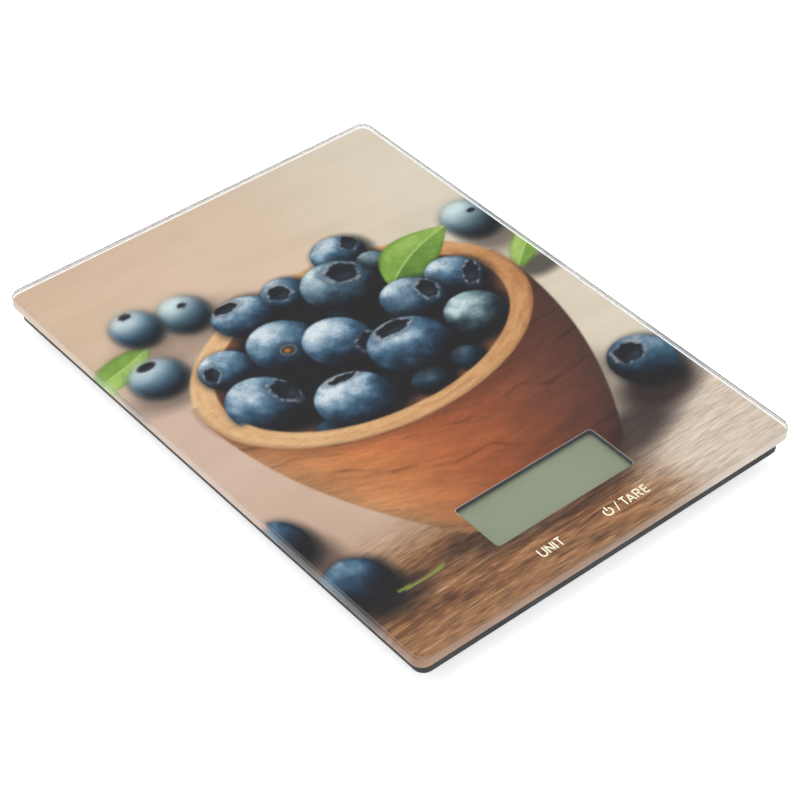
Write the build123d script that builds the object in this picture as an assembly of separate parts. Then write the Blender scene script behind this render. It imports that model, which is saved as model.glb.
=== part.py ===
from build123d import *

import os

# Kitchen scale: a printed glass plate on a slim two-shell case that stands on four load-cell feet.
# Millimetres. +X is right, +Y is back and +Z is up. The display and the touch keys are at the front.
# The origin is on the surface that the scale stands on, under the centre of the plate.

# Glass plate, with its printed film and the foam tape that holds it
PLATE_X = 145.0
PLATE_Y = 200.0
PLATE_RADIUS = 4.0
GLASS_THICKNESS = 4.0
GLASS_BOTTOM = 10.5
ARRIS = 0.45
FILM_THICKNESS = 0.12
FILM_INSET = 0.3
TAPE_THICKNESS = 0.5
TAPE_BORDER = 8.0
TAPE_OPENING_FRONT = -50.0

# Case: a rim under the plate's edge, and a smaller pan below it
CASE_INSET_X = 2.35
CASE_INSET_Y = 1.9
CASE_RADIUS = 3.5
WALL = 1.6
RIM_BOTTOM = 4.9
RIM_GAP = 0.08
PAN_INSET = 3.5
PAN_RADIUS = 3.6
PAN_BOTTOM = 2.5
CASE_CHAMFER = 0.7
GUSSET_THICKNESS = 1.2
GUSSET_LENGTH = 3.0
GUSSET_PITCH_X = 22.0
GUSSET_PITCH_Y = 25.3

# Ribs: their thickness, and where each row stands along Y
RIB = 1.0
FLOOR_RIBS_X = (-20.0, 20.0)
FLOOR_RIBS_Y = (-24.0, -12.0, 34.0, 50.0, 66.0)
FLOOR_RIB_TOP = 6.0
WIRE_RIBS_X = (24.0, 31.0)
WIRE_RIBS_Y = (-30.0, 0.0, 30.0, 56.0)
SIDE_RIBS_START = 34.0
SIDE_RIBS_Y = (-52.0, -16.0, 16.0, 52.0)
SIDE_RIB_TOP = 6.3

# Upper frame, the inner shell under the glass
FRAME_THICKNESS = 1.2
FRAME_CLEARANCE = 0.15
FRAME_RIB_DEPTH = 0.65
FRAME_RIBS_X = (-22.0, 22.0)
FRAME_RIBS_Y = (-24.0, 32.0, 50.0, 68.0)
FRAME_SIDE_RIBS_X = (32.5, 62.0)
FRAME_SIDE_RIBS_Y = (-50.0, -24.0, 4.0, 32.0, 54.0)

# Window and touch keys, as places on the plate
WINDOW_X = (-26.4, 26.9)
WINDOW_Y = (-79.7, -60.7)
WINDOW_RADIUS = 1.3
WINDOW_MARGIN = 0.2
KEY_Y = -89.1
KEYS = {"unit": -14.9, "tare": 14.2}
KEY_PAD_RADIUS = 3.6
KEY_HOLE_RADIUS = 4.8

# Display stack, from the top down
LCD_X = 59.0
LCD_Y = 24.0
LCD_CENTRE_Y = -70.2
LCD_GAP = 0.1
LCD_GLASS = 1.0
LCD_FILM = 0.15
LCD_LEDGE = 2.9
LCD_FRAME_WALL = 1.4
LCD_FRAME_CLEARANCE = 0.1
ZEBRA_LENGTH = 56.0
ZEBRA_WIDTH = 2.0

# Circuit board
PCB_X = 63.0
PCB_Y = (-92.8, -38.0)
PCB_BOTTOM = 5.0
PCB_THICKNESS = 1.0
PCB_SCREWS = ((-27.0, -88.6), (27.0, -88.6), (-20.0, -41.0), (20.0, -41.0))
PCB_BOSS_RADIUS = 2.0
PCB_SCREW_RADIUS = 0.85
PCB_SCREW_HEAD_RADIUS = 1.7
PCB_SCREW_HEAD = 0.75
PCB_SCREW_LENGTH = 3.2
CONTROLLER = (-4.0, -46.5)
CONTROLLER_RADIUS = 4.6
CONTROLLER_HEIGHT = 1.2

# Case screws
CASE_SCREWS = (
    (-56.0, 40.0),
    (56.0, 40.0),
    (-56.0, -40.0),
    (56.0, -40.0),
    (-18.0, 84.0),
    (18.0, 84.0),
    (-18.0, -33.0),
    (18.0, -33.0),
)
CASE_BOSS_RADIUS = 2.6
CASE_SCREW_RADIUS = 1.05
CASE_SCREW_HEAD_RADIUS = 2.1
CASE_SCREW_HEAD = 0.75
CASE_SCREW_LENGTH = 4.8
SCREW_RECESS = 0.9
SCREW_SLACK = 0.05
HEAD_SLACK = 0.3
CROSS_WIDTH = 0.44
CROSS_DEPTH = 0.4

# Load cells and feet
FEET = {
    "front_left": (-47.0, -75.0),
    "front_right": (47.0, -75.0),
    "rear_left": (-47.0, 75.0),
    "rear_right": (47.0, 75.0),
}
CELL_SIZE = 24.0
CELL_RADIUS = 3.0
CELL_THICKNESS = 1.0
CELL_BOTTOM = 5.9
CELL_SLOT = 18.4
TONGUE_WIDTH = 8.0
TONGUE_REACH = 4.5
COATING_HEIGHT = 0.55
SEAT_POST = 3.2
SEAT_SLACK = 0.1
HOOK_WIDTH = 5.0
HOOK_THICKNESS = 1.1
HOOK_LIP = 0.6
HOOK_RISE = 0.5
FOOT_RADIUS = 10.0
FOOT_CLEARANCE = 0.4
FOOT_FLANGE_RADIUS = 11.5
FOOT_FLANGE = 1.0
FOOT_BOTTOM = 0.6
FOOT_TRAVEL = 0.35
FOOT_POST_RADIUS = 3.0
PAD_RADIUS = 8.4
PAD_RECESS = 0.8
PAD_RINGS = (4.0, 6.2)
PAD_RING_WIDTH = 0.7
PAD_RING_DEPTH = 0.2
FOOT_GROOVE = (12.4, 13.6)
FOOT_GROOVE_DEPTH = 0.4

# Coin cell, 20 mm across and 3.2 mm thick, in a bay with a hinged cover
BAY_CENTRE_Y = 10.0
COIN_RADIUS = 10.0
COIN_HEIGHT = 3.2
COIN_BOTTOM = 3.9
COIN_WALL = 0.25
CAP_RADIUS = 8.9
CAP_FILL = 1.0
BAY_RADIUS = 10.6
BAY_WALL = 1.3
BAY_CEILING = 7.9
BAY_CEILING_THICKNESS = 0.6
COVER_HALF_X = 12.6
COVER_FRONT = -3.5
COVER_THICKNESS = 1.1
COVER_GAP = 0.25
COVER_ROOM = 1.35
HINGE_Y = 22.6
HINGE_RADIUS = 0.6
HINGE_PIN_RADIUS = 0.4
HINGE_PIN_LENGTH = 0.9
HINGE_PIN_SLACK = 0.05
BAY_MARGIN = 1.2
LATCH_BEAD_RADIUS = 0.15
LATCH_BEAD_LENGTH = 6.0
LATCH_SLOT_X = (4.2, 4.8)
LATCH_SLOT_END = 3.0
THUMB_RADIUS = 6.0
THUMB_DEPTH = 0.8
GRIP_RIBS_Y = (5.0, 7.0, 9.0)
GRIP_RIB_WIDTH = 0.8
GRIP_RIB_HEIGHT = 0.3

# Battery contacts, as places on the plate
CONTACT_THICKNESS = 0.25
CONTACT_TAB_Z = 7.175
CONTACT_SLACK = 0.3
NEGATIVE_LEAF_X = (-8.0, 3.0)
NEGATIVE_LEAF_Y = (6.0, 14.0)
NEGATIVE_TAB_X = (-8.0, -6.0)
NEGATIVE_TAB_Y = (-1.5, 7.0)
POSITIVE_X = (0.0, 4.0)
POSITIVE_STRIP_Y = (-0.42, -0.17)
POSITIVE_TAB_FRONT = -3.4

# Blank label under the case
LABEL_X = 46.0
LABEL_Y = 22.0
LABEL_RADIUS = 1.5
LABEL_CENTRE = (0.0, 54.0)
LABEL_THICKNESS = 0.1
LABEL_DEPTH = 0.15
LABEL_MARGIN = 0.4

# Wires
WIRE_RADIUS = 0.5
WIRE_PITCH = 1.6
WIRE_BEND = 4.0
WIRE_DROP = 1.4

# Heights and outlines that follow
GLASS_TOP = GLASS_BOTTOM + GLASS_THICKNESS
FILM_BOTTOM = GLASS_BOTTOM - FILM_THICKNESS
FRAME_TOP = FILM_BOTTOM - TAPE_THICKNESS
FRAME_BOTTOM = FRAME_TOP - FRAME_THICKNESS
RIM_TOP = FILM_BOTTOM - RIM_GAP
SHELF_TOP = RIM_BOTTOM + WALL
FLOOR_TOP = PAN_BOTTOM + WALL
CASE_X = PLATE_X - 2 * CASE_INSET_X
CASE_Y = PLATE_Y - 2 * CASE_INSET_Y
PAN_X = CASE_X - 2 * PAN_INSET
PAN_Y = CASE_Y - 2 * PAN_INSET
FRAME_X = CASE_X - 2 * (WALL + FRAME_CLEARANCE)
FRAME_Y = CASE_Y - 2 * (WALL + FRAME_CLEARANCE)
FRAME_RADIUS = CASE_RADIUS - WALL - FRAME_CLEARANCE
PCB_TOP = PCB_BOTTOM + PCB_THICKNESS
LCD_TOP = FRAME_BOTTOM - LCD_GAP
LCD_FRONT_TOP = LCD_TOP - LCD_FILM
LCD_REAR_TOP = LCD_FRONT_TOP - LCD_GLASS
LCD_REFLECTOR_TOP = LCD_REAR_TOP - LCD_GLASS
LCD_FRONT_EDGE = LCD_CENTRE_Y - LCD_Y / 2
LCD_BACK_EDGE = LCD_CENTRE_Y + LCD_Y / 2
CELL_TOP = CELL_BOTTOM + CELL_THICKNESS
WIRE_Z = CELL_TOP + WIRE_RADIUS + 0.05
COVER_TOP = PAN_BOTTOM + COVER_THICKNESS
COVER_ROOM_TOP = PAN_BOTTOM + COVER_ROOM
BAY_FLOOR_TOP = RIM_BOTTOM
HINGE_Z = PAN_BOTTOM + HINGE_RADIUS
OPENING_HALF_X = COVER_HALF_X + COVER_GAP
OPENING_FRONT = COVER_FRONT - COVER_GAP
OPENING_BACK = HINGE_Y + HINGE_RADIUS + COVER_GAP


def slab(x, y, radius, low, high, centre=(0.0, 0.0)):
    """A plate with rounded corners, from one height to another."""
    return Pos(centre[0], centre[1], low) * extrude(RectangleRounded(x, y, radius), high - low)


def block(x, y, z):
    """A box from its lowest and highest value on each axis."""
    size = (x[1] - x[0], y[1] - y[0], z[1] - z[0])
    return Pos(sum(x) / 2, sum(y) / 2, sum(z) / 2) * Box(*size)


def disc(radius, low, high, centre=(0.0, 0.0)):
    """An upright cylinder from one height to another."""
    return Pos(centre[0], centre[1], (low + high) / 2) * Cylinder(radius, high - low)


def edges_at(shape, height):
    """The edges that lie flat at one height."""
    return shape.edges().filter_by_position(Axis.Z, height - 0.001, height + 0.001)


def ordered(a, b):
    return (min(a, b), max(a, b))


def window(margin, low, high, radius=WINDOW_RADIUS):
    """The display window's opening, grown by a margin."""
    x = WINDOW_X[1] - WINDOW_X[0] + 2 * margin
    y = WINDOW_Y[1] - WINDOW_Y[0] + 2 * margin
    return slab(x, y, radius + margin, low, high, (sum(WINDOW_X) / 2, sum(WINDOW_Y) / 2))


def wire(points, radius=WIRE_RADIUS, bend=WIRE_BEND, last_bend=WIRE_DROP / 2):
    """A round wire along straight runs joined by arcs. The last corner turns down onto the board."""
    radii = [bend] * (len(points) - 3) + [last_bend]
    path = FilletPolyline(*points, radius=radii)
    start = Plane(origin=path @ 0, z_dir=path % 0)
    return sweep(start * Circle(radius), path=path)


def save(node, shape):
    """Writes one node. A group of separate solids is one compound."""
    shape = Compound(children=list(shape)) if isinstance(shape, list) else shape
    export_step(shape, f"parts/{node}.step")


def glass_platform():
    glass = slab(PLATE_X, PLATE_Y, PLATE_RADIUS, GLASS_BOTTOM, GLASS_TOP)
    return chamfer(edges_at(glass, GLASS_BOTTOM) + edges_at(glass, GLASS_TOP), ARRIS)


def decor_film():
    x = PLATE_X - 2 * FILM_INSET
    y = PLATE_Y - 2 * FILM_INSET
    film = slab(x, y, PLATE_RADIUS - FILM_INSET, FILM_BOTTOM, GLASS_BOTTOM)
    return film - window(0.0, FILM_BOTTOM - 1, GLASS_BOTTOM + 1)


def glass_tape():
    """Foam tape, solid around the display and a border elsewhere."""
    border = 0.6
    tape = slab(FRAME_X - 2 * border, FRAME_Y - 2 * border, 2.0, FRAME_TOP, FILM_BOTTOM)
    low, high = FRAME_TOP - 1, FILM_BOTTOM + 1
    back = FRAME_Y / 2 - TAPE_BORDER
    depth = back - TAPE_OPENING_FRONT
    middle = (back + TAPE_OPENING_FRONT) / 2
    tape -= slab(FRAME_X - 2 * TAPE_BORDER, depth, 3.0, low, high, (0.0, middle))
    tape -= window(1.0, low, high)
    for x in KEYS.values():
        tape -= disc(KEY_HOLE_RADIUS, low, high, (x, KEY_Y))
    return tape


def upper_frame():
    frame = slab(FRAME_X, FRAME_Y, FRAME_RADIUS, FRAME_BOTTOM, FRAME_TOP)
    ribs_z = (FRAME_BOTTOM - FRAME_RIB_DEPTH, FRAME_BOTTOM)
    additions = []
    for y in FRAME_RIBS_Y:
        additions.append(block(FRAME_RIBS_X, (y - RIB / 2, y + RIB / 2), ribs_z))
    near, far = FRAME_SIDE_RIBS_X
    for side in (-1, 1):
        for y in FRAME_SIDE_RIBS_Y:
            additions.append(block(ordered(side * near, side * far), (y - RIB / 2, y + RIB / 2), ribs_z))
        along = (FRAME_SIDE_RIBS_Y[0], FRAME_SIDE_RIBS_Y[-1])
        additions.append(block(ordered(side * (far - RIB), side * far), along, ribs_z))
    for place in CASE_SCREWS:
        additions.append(disc(CASE_BOSS_RADIUS, FLOOR_TOP + SCREW_SLACK, FRAME_BOTTOM + 0.2, place))
    for place in PCB_SCREWS:
        additions.append(disc(PCB_BOSS_RADIUS, PCB_TOP, FRAME_BOTTOM + 0.2, place))
    frame += additions
    cuts = [window(WINDOW_MARGIN, FRAME_BOTTOM - 1, FRAME_TOP + 1)]
    for x in KEYS.values():
        cuts.append(disc(KEY_HOLE_RADIUS, FRAME_BOTTOM - 1, FRAME_TOP + 1, (x, KEY_Y)))
    for place in CASE_SCREWS:
        cuts.append(disc(CASE_SCREW_RADIUS + SCREW_SLACK, FLOOR_TOP - 1, FRAME_BOTTOM, place))
    for place in PCB_SCREWS:
        cuts.append(disc(PCB_SCREW_RADIUS + SCREW_SLACK, PCB_TOP - 1, FRAME_BOTTOM + 0.5, place))
    return frame - cuts


def case_shell():
    """The rim and the pan, hollowed from above."""
    rim = slab(CASE_X, CASE_Y, CASE_RADIUS, RIM_BOTTOM, RIM_TOP)
    pan = slab(PAN_X, PAN_Y, PAN_RADIUS, PAN_BOTTOM, SHELF_TOP)
    shell = rim + pan
    shell = chamfer(edges_at(shell, PAN_BOTTOM), CASE_CHAMFER)
    shell = chamfer([e for e in edges_at(shell, RIM_BOTTOM) if outside_pan(e.center())], CASE_CHAMFER)
    inner_x, inner_y = CASE_X - 2 * WALL, CASE_Y - 2 * WALL
    shell -= slab(inner_x, inner_y, CASE_RADIUS - WALL, SHELF_TOP, RIM_TOP + 1)
    shell -= slab(PAN_X - 2 * WALL, PAN_Y - 2 * WALL, PAN_RADIUS - WALL, FLOOR_TOP, RIM_TOP)
    return shell


def outside_pan(point):
    """Whether a point is out beyond the pan's sides."""
    return abs(point.X) > PAN_X / 2 + 1 or abs(point.Y) > PAN_Y / 2 + 1


def rim_gussets():
    """Short walls on the rim's shelf that carry the upper frame."""
    gussets = []
    top = FRAME_BOTTOM - 0.05
    half_x, half_y = CASE_X / 2 - WALL, CASE_Y / 2 - WALL
    half = GUSSET_THICKNESS / 2
    for side in (-1, 1):
        for step in range(-3, 4):
            y = step * GUSSET_PITCH_Y
            x = ordered(side * half_x, side * (half_x - GUSSET_LENGTH))
            gussets.append(block(x, (y - half, y + half), (SHELF_TOP - 0.1, top)))
        for step in range(-2, 3):
            x = step * GUSSET_PITCH_X
            y = ordered(side * half_y, side * (half_y - GUSSET_LENGTH))
            gussets.append(block((x - half, x + half), y, (SHELF_TOP - 0.1, top)))
    return gussets


def cell_seat(place):
    """Four corner posts under a load cell, and three snap hooks over its edge."""
    x, y = place
    outward = 1 if x > 0 else -1
    half = CELL_SIZE / 2
    parts = []
    for side_x in (-1, 1):
        for side_y in (-1, 1):
            post_x = ordered(x + side_x * (half - SEAT_POST), x + side_x * half)
            post_y = ordered(y + side_y * (half - SEAT_POST), y + side_y * half)
            parts.append(block(post_x, post_y, (FLOOR_TOP - 0.1, CELL_BOTTOM)))
    near, far = half + SEAT_SLACK, half + SEAT_SLACK + HOOK_THICKNESS
    lip = (CELL_TOP + 0.05, CELL_TOP + HOOK_RISE)
    width = (x - HOOK_WIDTH / 2, x + HOOK_WIDTH / 2)
    for side_y in (-1, 1):
        parts.append(block(width, ordered(y + side_y * near, y + side_y * far), (FLOOR_TOP - 0.1, lip[1])))
        reach = ordered(y + side_y * (half - HOOK_LIP), y + side_y * far)
        parts.append(block(width, reach, lip))
    width = (y - HOOK_WIDTH / 2, y + HOOK_WIDTH / 2)
    parts.append(block(ordered(x + outward * near, x + outward * far), width, (FLOOR_TOP - 0.1, lip[1])))
    parts.append(block(ordered(x + outward * (half - HOOK_LIP), x + outward * far), width, lip))
    return parts


def battery_bay():
    """The walls and ceiling around the coin cell, and the frame around its cover."""
    centre = (0.0, BAY_CENTRE_Y)
    x = (-OPENING_HALF_X - BAY_MARGIN, OPENING_HALF_X + BAY_MARGIN)
    y = (OPENING_FRONT - BAY_MARGIN, OPENING_BACK + BAY_MARGIN)
    tray = block(x, y, (PAN_BOTTOM + 0.5, BAY_FLOOR_TOP))
    ceiling = BAY_CEILING + BAY_CEILING_THICKNESS
    return [tray, disc(BAY_RADIUS + BAY_WALL, BAY_FLOOR_TOP - 0.1, ceiling, centre)]


def battery_bay_cuts():
    """The cover's opening, the coin's bay, the hinge's holes, a thumb notch, and slots for the contacts."""
    centre = (0.0, BAY_CENTRE_Y)
    pin_hole = Pos(0, HINGE_Y, HINGE_Z) * Rot(0, 90, 0)
    pin_radius = HINGE_PIN_RADIUS + HINGE_PIN_SLACK
    pin_reach = COVER_HALF_X + HINGE_PIN_LENGTH + 0.1
    tab = CONTACT_THICKNESS / 2 + CONTACT_SLACK / 3
    negative_x = (NEGATIVE_TAB_X[0] - CONTACT_SLACK, NEGATIVE_TAB_X[1] + CONTACT_SLACK)
    positive_x = (POSITIVE_X[0] - CONTACT_SLACK, POSITIVE_X[1] + CONTACT_SLACK)
    opening_x = (-OPENING_HALF_X, OPENING_HALF_X)
    wall_y = (-3.0, 4.0)
    return [
        block(opening_x, (OPENING_FRONT, OPENING_BACK), (PAN_BOTTOM - 1, COVER_ROOM_TOP)),
        disc(BAY_RADIUS, COVER_ROOM_TOP - 0.5, BAY_CEILING, centre),
        pin_hole * Cylinder(pin_radius, 2 * pin_reach),
        disc(THUMB_RADIUS, PAN_BOTTOM - 1, PAN_BOTTOM + THUMB_DEPTH, (0.0, OPENING_FRONT)),
        block(negative_x, wall_y, (BAY_CEILING - CONTACT_THICKNESS - 0.1, BAY_CEILING + 0.05)),
        block(positive_x, (wall_y[0], 0.0), (CONTACT_TAB_Z - tab, CONTACT_TAB_Z + tab)),
        block(positive_x, (POSITIVE_STRIP_Y[0] - CONTACT_SLACK, 1.0), (COVER_ROOM_TOP, CONTACT_TAB_Z)),
    ]


def base_ribs():
    """Stiffening ribs on the floor. The taller ones cross under the wires and hold them up."""
    ribs = []
    for y in FLOOR_RIBS_Y:
        ribs.append(block(FLOOR_RIBS_X, (y - RIB / 2, y + RIB / 2), (FLOOR_TOP - 0.1, FLOOR_RIB_TOP)))
    for side in (-1, 1):
        for y in WIRE_RIBS_Y:
            x = ordered(side * WIRE_RIBS_X[0], side * WIRE_RIBS_X[1])
            ribs.append(block(x, (y - RIB / 2, y + RIB / 2), (FLOOR_TOP - 0.1, CELL_TOP)))
        for y in SIDE_RIBS_Y:
            x = ordered(side * SIDE_RIBS_START, side * (PAN_X / 2 - WALL + 0.1))
            ribs.append(block(x, (y - RIB / 2, y + RIB / 2), (FLOOR_TOP - 0.1, SIDE_RIB_TOP)))
    return ribs


def base_case():
    case = case_shell()
    additions = rim_gussets() + base_ribs() + battery_bay()
    for place in FEET.values():
        additions += cell_seat(place)
    case += additions
    cuts = battery_bay_cuts()
    for place in FEET.values():
        cuts.append(disc(FOOT_RADIUS + FOOT_CLEARANCE, PAN_BOTTOM - 1, FLOOR_TOP + 0.1, place))
        groove = disc(FOOT_GROOVE[1], PAN_BOTTOM - 1, PAN_BOTTOM + FOOT_GROOVE_DEPTH, place)
        cuts.append(groove - disc(FOOT_GROOVE[0], PAN_BOTTOM - 2, PAN_BOTTOM + 1, place))
    for place in CASE_SCREWS:
        cuts.append(disc(CASE_SCREW_RADIUS + 0.2, PAN_BOTTOM - 1, FLOOR_TOP + 1, place))
        recess = CASE_SCREW_HEAD_RADIUS + HEAD_SLACK
        cuts.append(disc(recess, PAN_BOTTOM - 1, PAN_BOTTOM + SCREW_RECESS, place))
    cuts.append(label_slab(LABEL_MARGIN, PAN_BOTTOM - 1, PAN_BOTTOM + LABEL_DEPTH))
    return case - cuts


def label_slab(margin, low, high):
    return slab(LABEL_X + 2 * margin, LABEL_Y + 2 * margin, LABEL_RADIUS, low, high, LABEL_CENTRE)


def blank_label():
    top = PAN_BOTTOM + LABEL_DEPTH
    return label_slab(0.0, top - LABEL_THICKNESS, top)


def battery_cover():
    """The cover, with its hinge barrel and pins at the back and a springy latch tongue at the front."""
    x = (-COVER_HALF_X, COVER_HALF_X)
    cover = block(x, (COVER_FRONT, HINGE_Y), (PAN_BOTTOM, COVER_TOP))
    along = Pos(0, HINGE_Y, HINGE_Z) * Rot(0, 90, 0)
    cover += along * Cylinder(HINGE_RADIUS, 2 * COVER_HALF_X)
    cover += along * Cylinder(HINGE_PIN_RADIUS, 2 * (COVER_HALF_X + HINGE_PIN_LENGTH))
    bead = Pos(0, COVER_FRONT, PAN_BOTTOM + COVER_THICKNESS / 2) * Rot(0, 90, 0)
    cover += bead * Cylinder(LATCH_BEAD_RADIUS, LATCH_BEAD_LENGTH)
    for side in (-1, 1):
        slot_x = ordered(side * LATCH_SLOT_X[0], side * LATCH_SLOT_X[1])
        cover -= block(slot_x, (COVER_FRONT - 1, LATCH_SLOT_END), (PAN_BOTTOM - 1, COVER_TOP + 1))
    grip_z = (PAN_BOTTOM - GRIP_RIB_HEIGHT, PAN_BOTTOM + 0.1)
    for y in GRIP_RIBS_Y:
        across = (y - GRIP_RIB_WIDTH / 2, y + GRIP_RIB_WIDTH / 2)
        cover += block((-THUMB_RADIUS, THUMB_RADIUS), across, grip_z)
    return cover


def case_screws():
    """Pan-head self-tapping screws, driven up from below."""
    head_bottom = PAN_BOTTOM + SCREW_RECESS - CASE_SCREW_HEAD
    head_top = head_bottom + CASE_SCREW_HEAD
    return [
        screw(place, head_bottom, head_top, CASE_SCREW_HEAD_RADIUS, CASE_SCREW_RADIUS, CASE_SCREW_LENGTH)
        for place in CASE_SCREWS
    ]


def screw(place, head_bottom, head_top, head_radius, shank_radius, length):
    """A screw that points up, with a cross recess in its head."""
    body = disc(head_radius, head_bottom, head_top, place)
    body = fillet(edges_at(body, head_bottom), 0.35)
    tip = head_top + length
    shank = disc(shank_radius, head_top - 0.1, tip, place)
    shank = chamfer(edges_at(shank, tip), shank_radius * 0.6)
    body += shank
    reach = head_radius * 0.55
    x, y = place
    half = CROSS_WIDTH / 2
    depth = (head_bottom - 1, head_bottom + CROSS_DEPTH)
    cross = [
        block((x - reach, x + reach), (y - half, y + half), depth),
        block((x - half, x + half), (y - reach, y + reach), depth),
    ]
    return body - cross


def load_cell(place):
    """A steel plate with a tongue that the foot bends. The tongue grows from the inboard side."""
    x, y = place
    inward = -1 if x > 0 else 1
    frame = slab(CELL_SIZE, CELL_SIZE, CELL_RADIUS, CELL_BOTTOM, CELL_TOP, place)
    frame -= slab(CELL_SLOT, CELL_SLOT, 1.5, CELL_BOTTOM - 1, CELL_TOP + 1, place)
    root, tip = x + inward * (CELL_SLOT / 2 + 1.0), x - inward * TONGUE_REACH
    middle = ((root + tip) / 2, y)
    return frame + slab(abs(root - tip), TONGUE_WIDTH, 1.0, CELL_BOTTOM, CELL_TOP, middle)


def gauge_coating(place):
    """The soft coating over the strain gauges, on the root of the tongue."""
    x, y = place
    inward = -1 if x > 0 else 1
    middle = (x + inward * 5.6, y)
    coating = slab(6.4, 6.0, 1.6, CELL_TOP, CELL_TOP + COATING_HEIGHT, middle)
    return fillet(edges_at(coating, CELL_TOP + COATING_HEIGHT), 0.3)


def foot(place):
    """A foot that hangs in the case by its flange and pushes the load cell's tongue with its post."""
    flange_bottom = FLOOR_TOP + 0.05
    flange_top = flange_bottom + FOOT_FLANGE
    shape = disc(FOOT_RADIUS, FOOT_BOTTOM, flange_top, place)
    shape = fillet(edges_at(shape, FOOT_BOTTOM), 0.5)
    shape += disc(FOOT_FLANGE_RADIUS, flange_bottom, flange_top, place)
    shape += disc(FOOT_POST_RADIUS, flange_top - 0.1, CELL_BOTTOM - FOOT_TRAVEL - 0.05, place)
    return shape - disc(PAD_RADIUS + 0.05, FOOT_BOTTOM - 1, FOOT_BOTTOM + PAD_RECESS, place)


def foot_pad(place):
    """A soft pad with two shallow rings in its face."""
    top = FOOT_BOTTOM + PAD_RECESS
    pad = disc(PAD_RADIUS, 0.0, top, place)
    pad = chamfer(edges_at(pad, 0.0), 0.25)
    half = PAD_RING_WIDTH / 2
    for radius in PAD_RINGS:
        pad -= disc(radius + half, -1.0, PAD_RING_DEPTH, place) - disc(radius - half, -2.0, 1.0, place)
    return pad


def cell_can():
    """The coin cell's positive can, with its flat face down, towards the cover."""
    centre = (0.0, BAY_CENTRE_Y)
    can = disc(COIN_RADIUS, COIN_BOTTOM, COIN_BOTTOM + COIN_HEIGHT - 0.35, centre)
    can = fillet(edges_at(can, COIN_BOTTOM), 0.3)
    inside = COIN_RADIUS - COIN_WALL
    return can - disc(inside, COIN_BOTTOM + COIN_WALL, COIN_BOTTOM + COIN_HEIGHT, centre)


def cell_gasket():
    centre = (0.0, BAY_CENTRE_Y)
    low, high = COIN_BOTTOM + COIN_WALL, COIN_BOTTOM + COIN_HEIGHT - 0.2
    ring = disc(COIN_RADIUS - COIN_WALL - 0.02, low, high, centre)
    return ring - disc(CAP_RADIUS + 0.02, low - 1, high + 1, centre)


def cell_cap():
    """The negative cap, facing up. Its thick top stands for the cell's fill and has its weight."""
    centre = (0.0, BAY_CENTRE_Y)
    top = COIN_BOTTOM + COIN_HEIGHT
    cap = disc(CAP_RADIUS, COIN_BOTTOM + COIN_WALL + 0.02, top, centre)
    cap = fillet(edges_at(cap, top), 0.3)
    return cap - disc(CAP_RADIUS - COIN_WALL, COIN_BOTTOM, top - CAP_FILL, centre)


def contact_negative():
    """A spring leaf under the bay's ceiling, with a bent finger on the cap and a solder tab."""
    low = BAY_CEILING - CONTACT_THICKNESS
    leaf = block(NEGATIVE_LEAF_X, NEGATIVE_LEAF_Y, (low, BAY_CEILING))
    tab = block(NEGATIVE_TAB_X, NEGATIVE_TAB_Y, (low, BAY_CEILING))
    cap_top = COIN_BOTTOM + COIN_HEIGHT
    bow = Polyline(
        (7.0, low + 0.1),
        (10.0, cap_top + 0.02),
        (11.5, cap_top + 0.02),
        (13.0, low + 0.1),
        (12.5, low + 0.2),
        (11.3, cap_top + 0.25),
        (10.2, cap_top + 0.25),
        (7.5, low + 0.2),
        close=True,
    )
    finger = extrude(Plane.YZ * make_face(bow), 2.0, both=True)
    return leaf + tab + finger


def contact_positive():
    """A strip against the side of the can, with a solder tab through the bay's wall."""
    half = CONTACT_THICKNESS / 2
    strip = block(POSITIVE_X, POSITIVE_STRIP_Y, (COIN_BOTTOM + 0.4, CONTACT_TAB_Z + half))
    tab_y = (POSITIVE_TAB_FRONT, POSITIVE_STRIP_Y[1])
    return strip + block(POSITIVE_X, tab_y, (CONTACT_TAB_Z - half, CONTACT_TAB_Z + half))


def battery_lead(x, start_y, start_z):
    end = PCB_Y[1] - 4.0
    points = [(x, start_y, start_z), (x, start_y - 6.0, WIRE_Z), (x, end, WIRE_Z), (x, end, PCB_TOP + 0.02)]
    return wire(points)


def main_pcb():
    board = block((-PCB_X / 2, PCB_X / 2), PCB_Y, (PCB_BOTTOM, PCB_TOP))
    board = chamfer(board.edges().filter_by(Axis.Z), 1.2)
    holes = [disc(PCB_SCREW_RADIUS + 0.15, PCB_BOTTOM - 1, PCB_TOP + 1, place) for place in PCB_SCREWS]
    return board - holes


def pcb_screws():
    head_bottom = PCB_BOTTOM - PCB_SCREW_HEAD
    return [
        screw(place, head_bottom, PCB_BOTTOM, PCB_SCREW_HEAD_RADIUS, PCB_SCREW_RADIUS, PCB_SCREW_LENGTH)
        for place in PCB_SCREWS
    ]


def controller_blob():
    blob = disc(CONTROLLER_RADIUS, PCB_TOP, PCB_TOP + CONTROLLER_HEIGHT, CONTROLLER)
    return fillet(edges_at(blob, PCB_TOP + CONTROLLER_HEIGHT), 0.9)


def pcb_components():
    """Chip parts: a memory chip, a crystal, and two rows of resistors and capacitors."""
    top = PCB_TOP
    parts = [block((10.0, 15.0), (-50.5, -46.5), (top, top + 1.4))]
    parts.append(block((-16.0, -11.0), (-52.0, -50.0), (top, top + 1.1)))
    for step in range(6):
        x = -18.0 + 6.5 * step
        parts.append(block((x, x + 1.6), (-54.6, -53.8), (top, top + 0.5)))
    for step in range(4):
        y = -50.0 + 2.2 * step
        parts.append(block((4.0, 6.0), (y, y + 1.25), (top, top + 0.7)))
    return parts


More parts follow.
